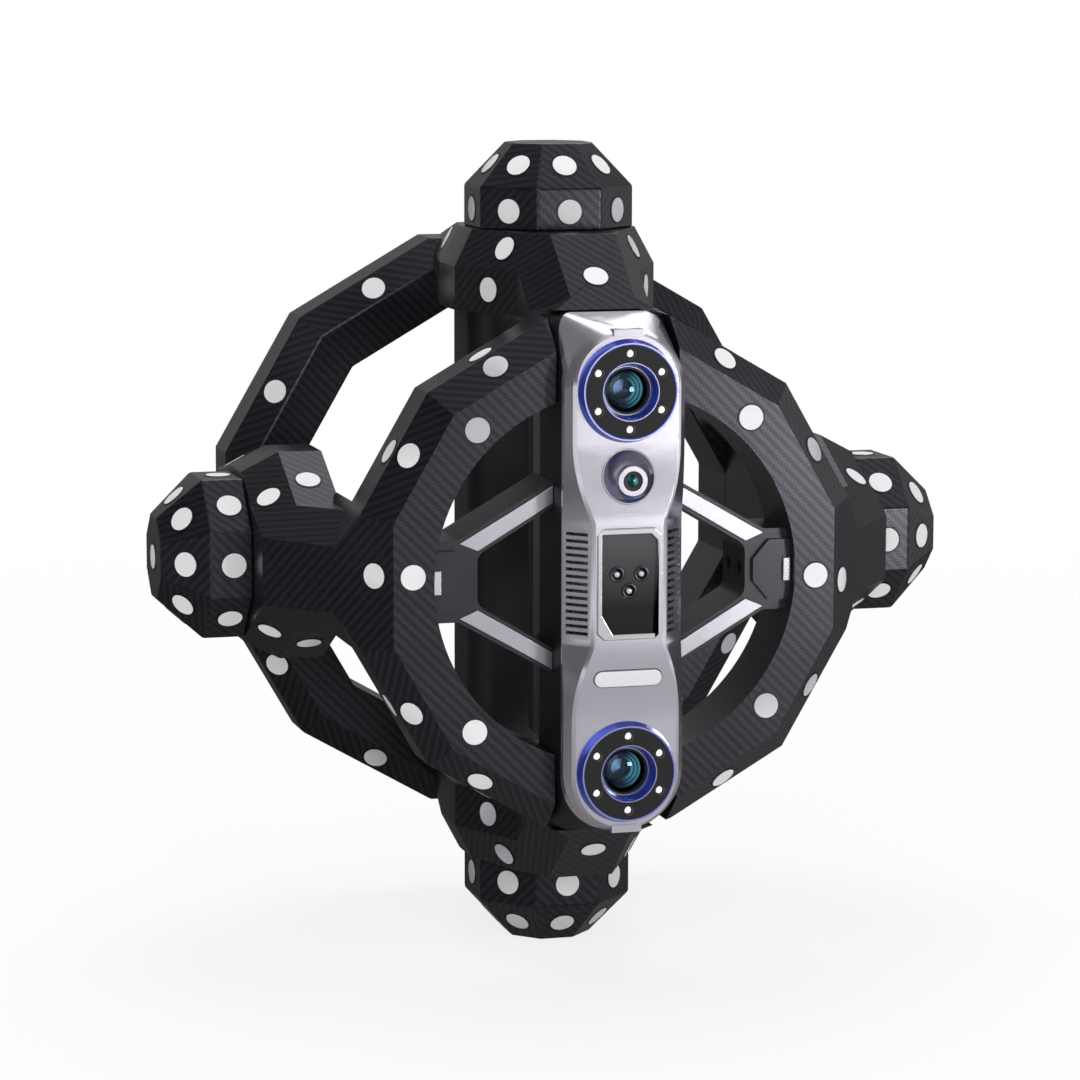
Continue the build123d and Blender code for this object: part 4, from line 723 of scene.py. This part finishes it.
# Pale eye caps: painted glint of the lamps in each laser window
turned("laser_eyes", eye_cap, lasers, finishes["laser_eye_painted_glint"], "coated_glass", segments=48)
rim = [(1.85, panel_front + 0.4), (1.98, panel_front - 0.12), (2.3, panel_front - 0.2),
       (2.65, panel_front - 0.12), (2.79, panel_front + 0.2)]
turned("laser_rims", rim, lasers, finishes["dark_chrome"], "gloss_black", segments=48)
print("laser panel front:", round(panel_front, 2), "mm")

# %% [markdown]
# Socket screws hold the shells together. The solids have plain screws, because a socket does no work
# there. Each head is turned here with a hexagonal socket, a chamfered rim and its shank below. A Boolean
# could cut the socket, but three rows of the lathe that follow a hexagon need no cut at all.

# %% Screw heads
def cap_screws(name, node, places, facing, finish, head_radius, head, shank_radius, length):
    """Profile from the socket's floor out over the rim and down the shank; three rows follow a hexagon. The
    socket is half as wide as the head and six tenths as deep."""
    key, key_depth, chamfer = head_radius * 0.5, head * 0.6, 0.3
    profile = [(0.0, key_depth), (key, key_depth), (key, 0.06), (key + 0.08, 0.0),
               (head_radius - chamfer, 0.0), (head_radius, chamfer), (head_radius, head),
               (shank_radius, head), (shank_radius, length), (0.0, length)]
    turned(name, profile, places, finish, slot_of[node], segments=48, facing=facing, hexed=(1, 2, 3),
           replaced=(node,))


def corners(node, inset):
    """The four corner places of a node's box in x and z, drawn in by an inset, on the box's back."""
    low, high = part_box(node)
    sides = (low[0] + inset * millimetre, high[0] - inset * millimetre)
    levels = (low[2] + inset * millimetre, high[2] - inset * millimetre)
    return [(x, high[1], z) for x in sides for z in levels]


black_steel = finishes["black_steel"]
cover_head, bar_head = 2.3, 3.5
cover_places, bar_places = corners("cover_screws", cover_head), corners("bar_screws", bar_head)
cap_screws("cover_screw_heads", "cover_screws", cover_places, "back", black_steel,
           head_radius=cover_head, head=1.6, shank_radius=1.25, length=14.0)
cap_screws("bar_screw_heads", "bar_screws", bar_places, "back", black_steel,
           head_radius=bar_head, head=3.5, shank_radius=2.0, length=12.5)
print("screw heads:", len(cover_places) + len(bar_places))

# %% [markdown]
# The handle's three screws go in from the back, and the struts' screws from inside the ring, two on each
# side. Their lengths come from the boxes of the solids. The struts' heads sit where the solids come
# closest to the middle of the scanner.

# %% Handle and strut screws
head_radius = 2.75
low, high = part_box("handle_screws")
middle_screw_drop = 34.0 * millimetre
handle_heights = (high[2] - head_radius * millimetre, cage_centre.z - middle_screw_drop,
                  low[2] + head_radius * millimetre)
handle_places = [(0.0, high[1], z) for z in handle_heights]
cap_screws("handle_screw_heads", "handle_screws", handle_places, "back", finishes["screw_steel"],
           head_radius, head=2.5, shank_radius=1.5, length=(high[1] - low[1]) / millimetre)
strut_points = np.empty(len(nodes["strut_screws"].data.vertices) * 3)
nodes["strut_screws"].data.vertices.foreach_get("co", strut_points)
head_x = np.abs(strut_points[0::3]).min()
low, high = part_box("strut_screws")
depths = (low[1] + head_radius * millimetre, high[1] - head_radius * millimetre)
for facing, side in (("left", 1.0), ("right", -1.0)):
    places = [(side * head_x, y, cage_centre.z) for y in depths]
    cap_screws(f"strut_screw_heads_{facing}", "strut_screws", places, facing, black_steel,
               head_radius, head=3.0, shank_radius=1.5, length=(high[0] - head_x) / millimetre)
print("screw heads:", len(handle_places) + 2 * len(depths))

# %% [markdown]
# The keys on the handle carry small raised marks, so that a thumb can tell them apart: a ring, a plus, a
# minus and a dot. They could be printed on with a texture, but raised marks can be felt, and they ride
# with their key. A bar is a turned dot whose halves are pulled apart.

# %% Key marks
def back_of(node):
    """The depth of a node's back, in metres."""
    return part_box(node)[1][1]


def on_key(name, node, profile, **shape):
    """A mark on a key's cap, riding with the key."""
    x, z = middle(node)
    shape = {"facing": "back", **shape}
    turned(name, profile, [(x, back_of(node), z)], finishes["mark_white"], slot_of[node], segments=48,
           body=body_of[node], **shape)


bar = [(0.0, -0.22), (0.34, -0.22), (0.42, -0.14), (0.42, 0.05)]
bar_stretch = 1.4
ring_mark = [(2.6, 0.05), (2.6, -0.16), (2.7, -0.22), (3.1, -0.22), (3.2, -0.16), (3.2, 0.05)]
dot_mark = [(0.0, -0.30), (0.5, -0.26), (0.85, -0.12), (0.95, 0.05)]
on_key("scan_mark", "scan_button", ring_mark)
on_key("plus_mark_level", "plus_button", bar, stretch=bar_stretch)
on_key("plus_mark_upright", "plus_button", bar, stretch=bar_stretch, facing="back_upright")
on_key("minus_mark", "minus_button", bar, stretch=bar_stretch)
on_key("mode_mark", "mode_button", dot_mark)
print("key marks ready")

# %% [markdown]
# The cable's socket has six brass pins in its insert. Each pin is turned with a rounded tip and a collar,
# and its foot is sunk in the insert, so that no gap shows.

# %% Socket pins
pin_circle = 3.0
pin_floor = back_of("socket_insert")
pins = [(x, pin_floor, z) for x, z in six_round(*middle("cable_socket"), pin_circle)]
pin = [(0.0, -3.6), (0.28, -3.5), (0.42, -3.1), (0.42, 0.0), (0.58, 0.0), (0.58, 1.0), (0.0, 1.0)]
turned("socket_pins", pin, pins, finishes["brass"], "brass", segments=20, facing="back")
print("pins:", len(pins))

# %% [markdown]
# The studio has a white backdrop. A plain white world would wash out every polished part, so the world
# asks what kind of ray sees it. The camera sees plain white. Metal and glass see a dim room with
# softboxes: two in front, one overhead, one on the right, and the pale backdrop behind. Those give
# polished parts their shape. All other rays see an even grey, which fills the shadows.

# %% Surround
def ray_kinds(tree):
    """Whether a ray comes from the camera, and whether it was mirrored or went through glass."""
    rays = add(tree, "ShaderNodeLightPath", {}).outputs
    return rays["Is Camera Ray"], calc(tree, "MAXIMUM", rays["Is Transmission Ray"], rays["Is Glossy Ray"])


def softbox(tree, direction, axis, inner, outer, strength):
    """Brightness of a round softbox: full within the inner angle from its axis, none beyond the outer one."""
    toward = {0: direction, 1: Vector(axis).normalized()}
    facing = add(tree, "ShaderNodeVectorMath", toward, operation="DOT_PRODUCT").outputs["Value"]
    dark_edge, bright_edge = (math.cos(math.radians(angle)) for angle in (outer, inner))
    return spread(tree, facing, 0.0, strength, start=dark_edge, end=bright_edge, kind="SMOOTHSTEP")


def surround():
    """The world: white for the camera, a room of softboxes for mirrored rays, even grey for the rest."""
    world = bpy.data.worlds.new("studio")
    world.use_nodes = True
    tree = world.node_tree
    from_camera, mirrored = ray_kinds(tree)
    direction = add(tree, "ShaderNodeTexCoord", {}).outputs["Generated"]
    # Axis, inner and outer angle, strength
    boxes = [((0.27, -0.93, 0.20), 2.0, 16.0, 0.45), ((0.20, -0.75, 0.65), 4.0, 18.0, 0.2),
             ((0.25, 0.0, 1.0), 12.0, 50.0, 0.6), ((1.0, 0.1, 0.1), 10.0, 40.0, 0.42),
             ((0.0, 1.0, 0.05), 10.0, 70.0, 0.18)]
    room, even_grey = 0.08, 0.36
    for box in boxes:
        room = calc(tree, "ADD", room, softbox(tree, direction, *box))
    level = blend(tree, from_camera, blend(tree, mirrored, even_grey, room), 1.0)
    background = tree.nodes["Background"]
    background.inputs["Color"].default_value = (1.0, 1.0, 1.0, 1.0)
    tree.links.new(level, background.inputs["Strength"])
    bpy.context.scene.world = world
    return len(boxes)


print("softboxes:", surround())

# %% [markdown]
# The floor is pale and keeps a soft shadow. A lit white floor alone would end in a visible edge, so the
# camera sees more and more plain white away from the scanner. Mirrored rays see a floor that is brighter
# in front and farther out, as a studio floor under its lamps is.

# %% Floor
def floor():
    """A square floor: camera brightness rises with distance, mirrored brightness = near x far."""
    reach = 4.0
    mesh = bpy.data.meshes.new("floor")
    outline = [(-reach, -reach, 0.0), (reach, -reach, 0.0), (reach, reach, 0.0), (-reach, reach, 0.0)]
    mesh.from_pydata(outline, [], [(0, 1, 2, 3)])
    ground = bpy.data.objects.new("floor", mesh)
    bpy.context.scene.collection.objects.link(ground)
    finish, tree, shader = start_finish("floor_white", Base_Color=(0.9, 0.9, 0.9), Roughness=0.9,
                                        Specular_IOR_Level=0.0)
    from_camera, mirrored = ray_kinds(tree)
    spot = object_coordinates(tree)
    length = add(tree, "ShaderNodeVectorMath", {0: spot}, operation="LENGTH").outputs["Value"]
    away = spread(tree, length, 0.82, 1.0, start=0.15, end=1.1)
    forwards = {0: spot, 1: (0.35, -1.0, 0.0)}
    in_front = add(tree, "ShaderNodeVectorMath", forwards, operation="DOT_PRODUCT").outputs["Value"]
    near = spread(tree, in_front, 0.08, 0.44, start=-0.1, end=0.35)
    far = spread(tree, length, 1.0, 2.2, start=0.5, end=2.0)
    strength = blend(tree, mirrored, 1.0, calc(tree, "MULTIPLY", near, far))
    glow = add(tree, "ShaderNodeEmission", {"Color": (1.0, 1.0, 1.0, 1.0), "Strength": strength})
    share = calc(tree, "ADD", calc(tree, "MULTIPLY", from_camera, away), mirrored)
    mix = add(tree, "ShaderNodeMixShader", {0: share, 1: shader.outputs[0], 2: glow.outputs[0]})
    tree.links.new(mix.outputs[0], tree.nodes["Material Output"].inputs["Surface"])
    mesh.materials.append(finish)
    return 2.0 * reach


print("floor side:", floor(), "m")

# %% [markdown]
# Four soft lamps light the scanner. The large front lamp models the shapes, a small one close by on the
# right draws the sheen across the front ring, and the top and back lamps part the dark cage from its
# shadow. Point lamps would give hard shadows, so all are square area lamps. They aren't seen through the
# lenses, where their images would only be speckle, and the top lamp isn't mirrored, since the overhead
# softbox already is.

# %% Lamps
def lamp(name, place, size, power, mirrored=True):
    """A square soft lamp that looks at the cage's centre, and may be kept out of reflections."""
    data = bpy.data.lights.new(name, "AREA")
    data.size = size
    data.energy = power
    light = bpy.data.objects.new(name, data)
    bpy.context.scene.collection.objects.link(light)
    light.visible_transmission = False
    light.visible_glossy = mirrored
    aim = (cage_centre - Vector(place)).to_track_quat("-Z", "Y")
    light.matrix_world = Matrix.Translation(place) @ aim.to_matrix().to_4x4()
    print(name, "lamp:", power, "W")


lamp("front", (-0.75, -1.8, 0.95), 1.6, 14.0)
lamp("sheen", (0.50, -0.93, 0.15), 0.2, 2.5)
lamp("top", (0.0, 0.2, 1.5), 0.9, 11.0, mirrored=False)
lamp("back", (0.55, 1.25, 1.5), 1.3, 7.0)
bpy.context.scene.view_settings.view_transform = "Standard"
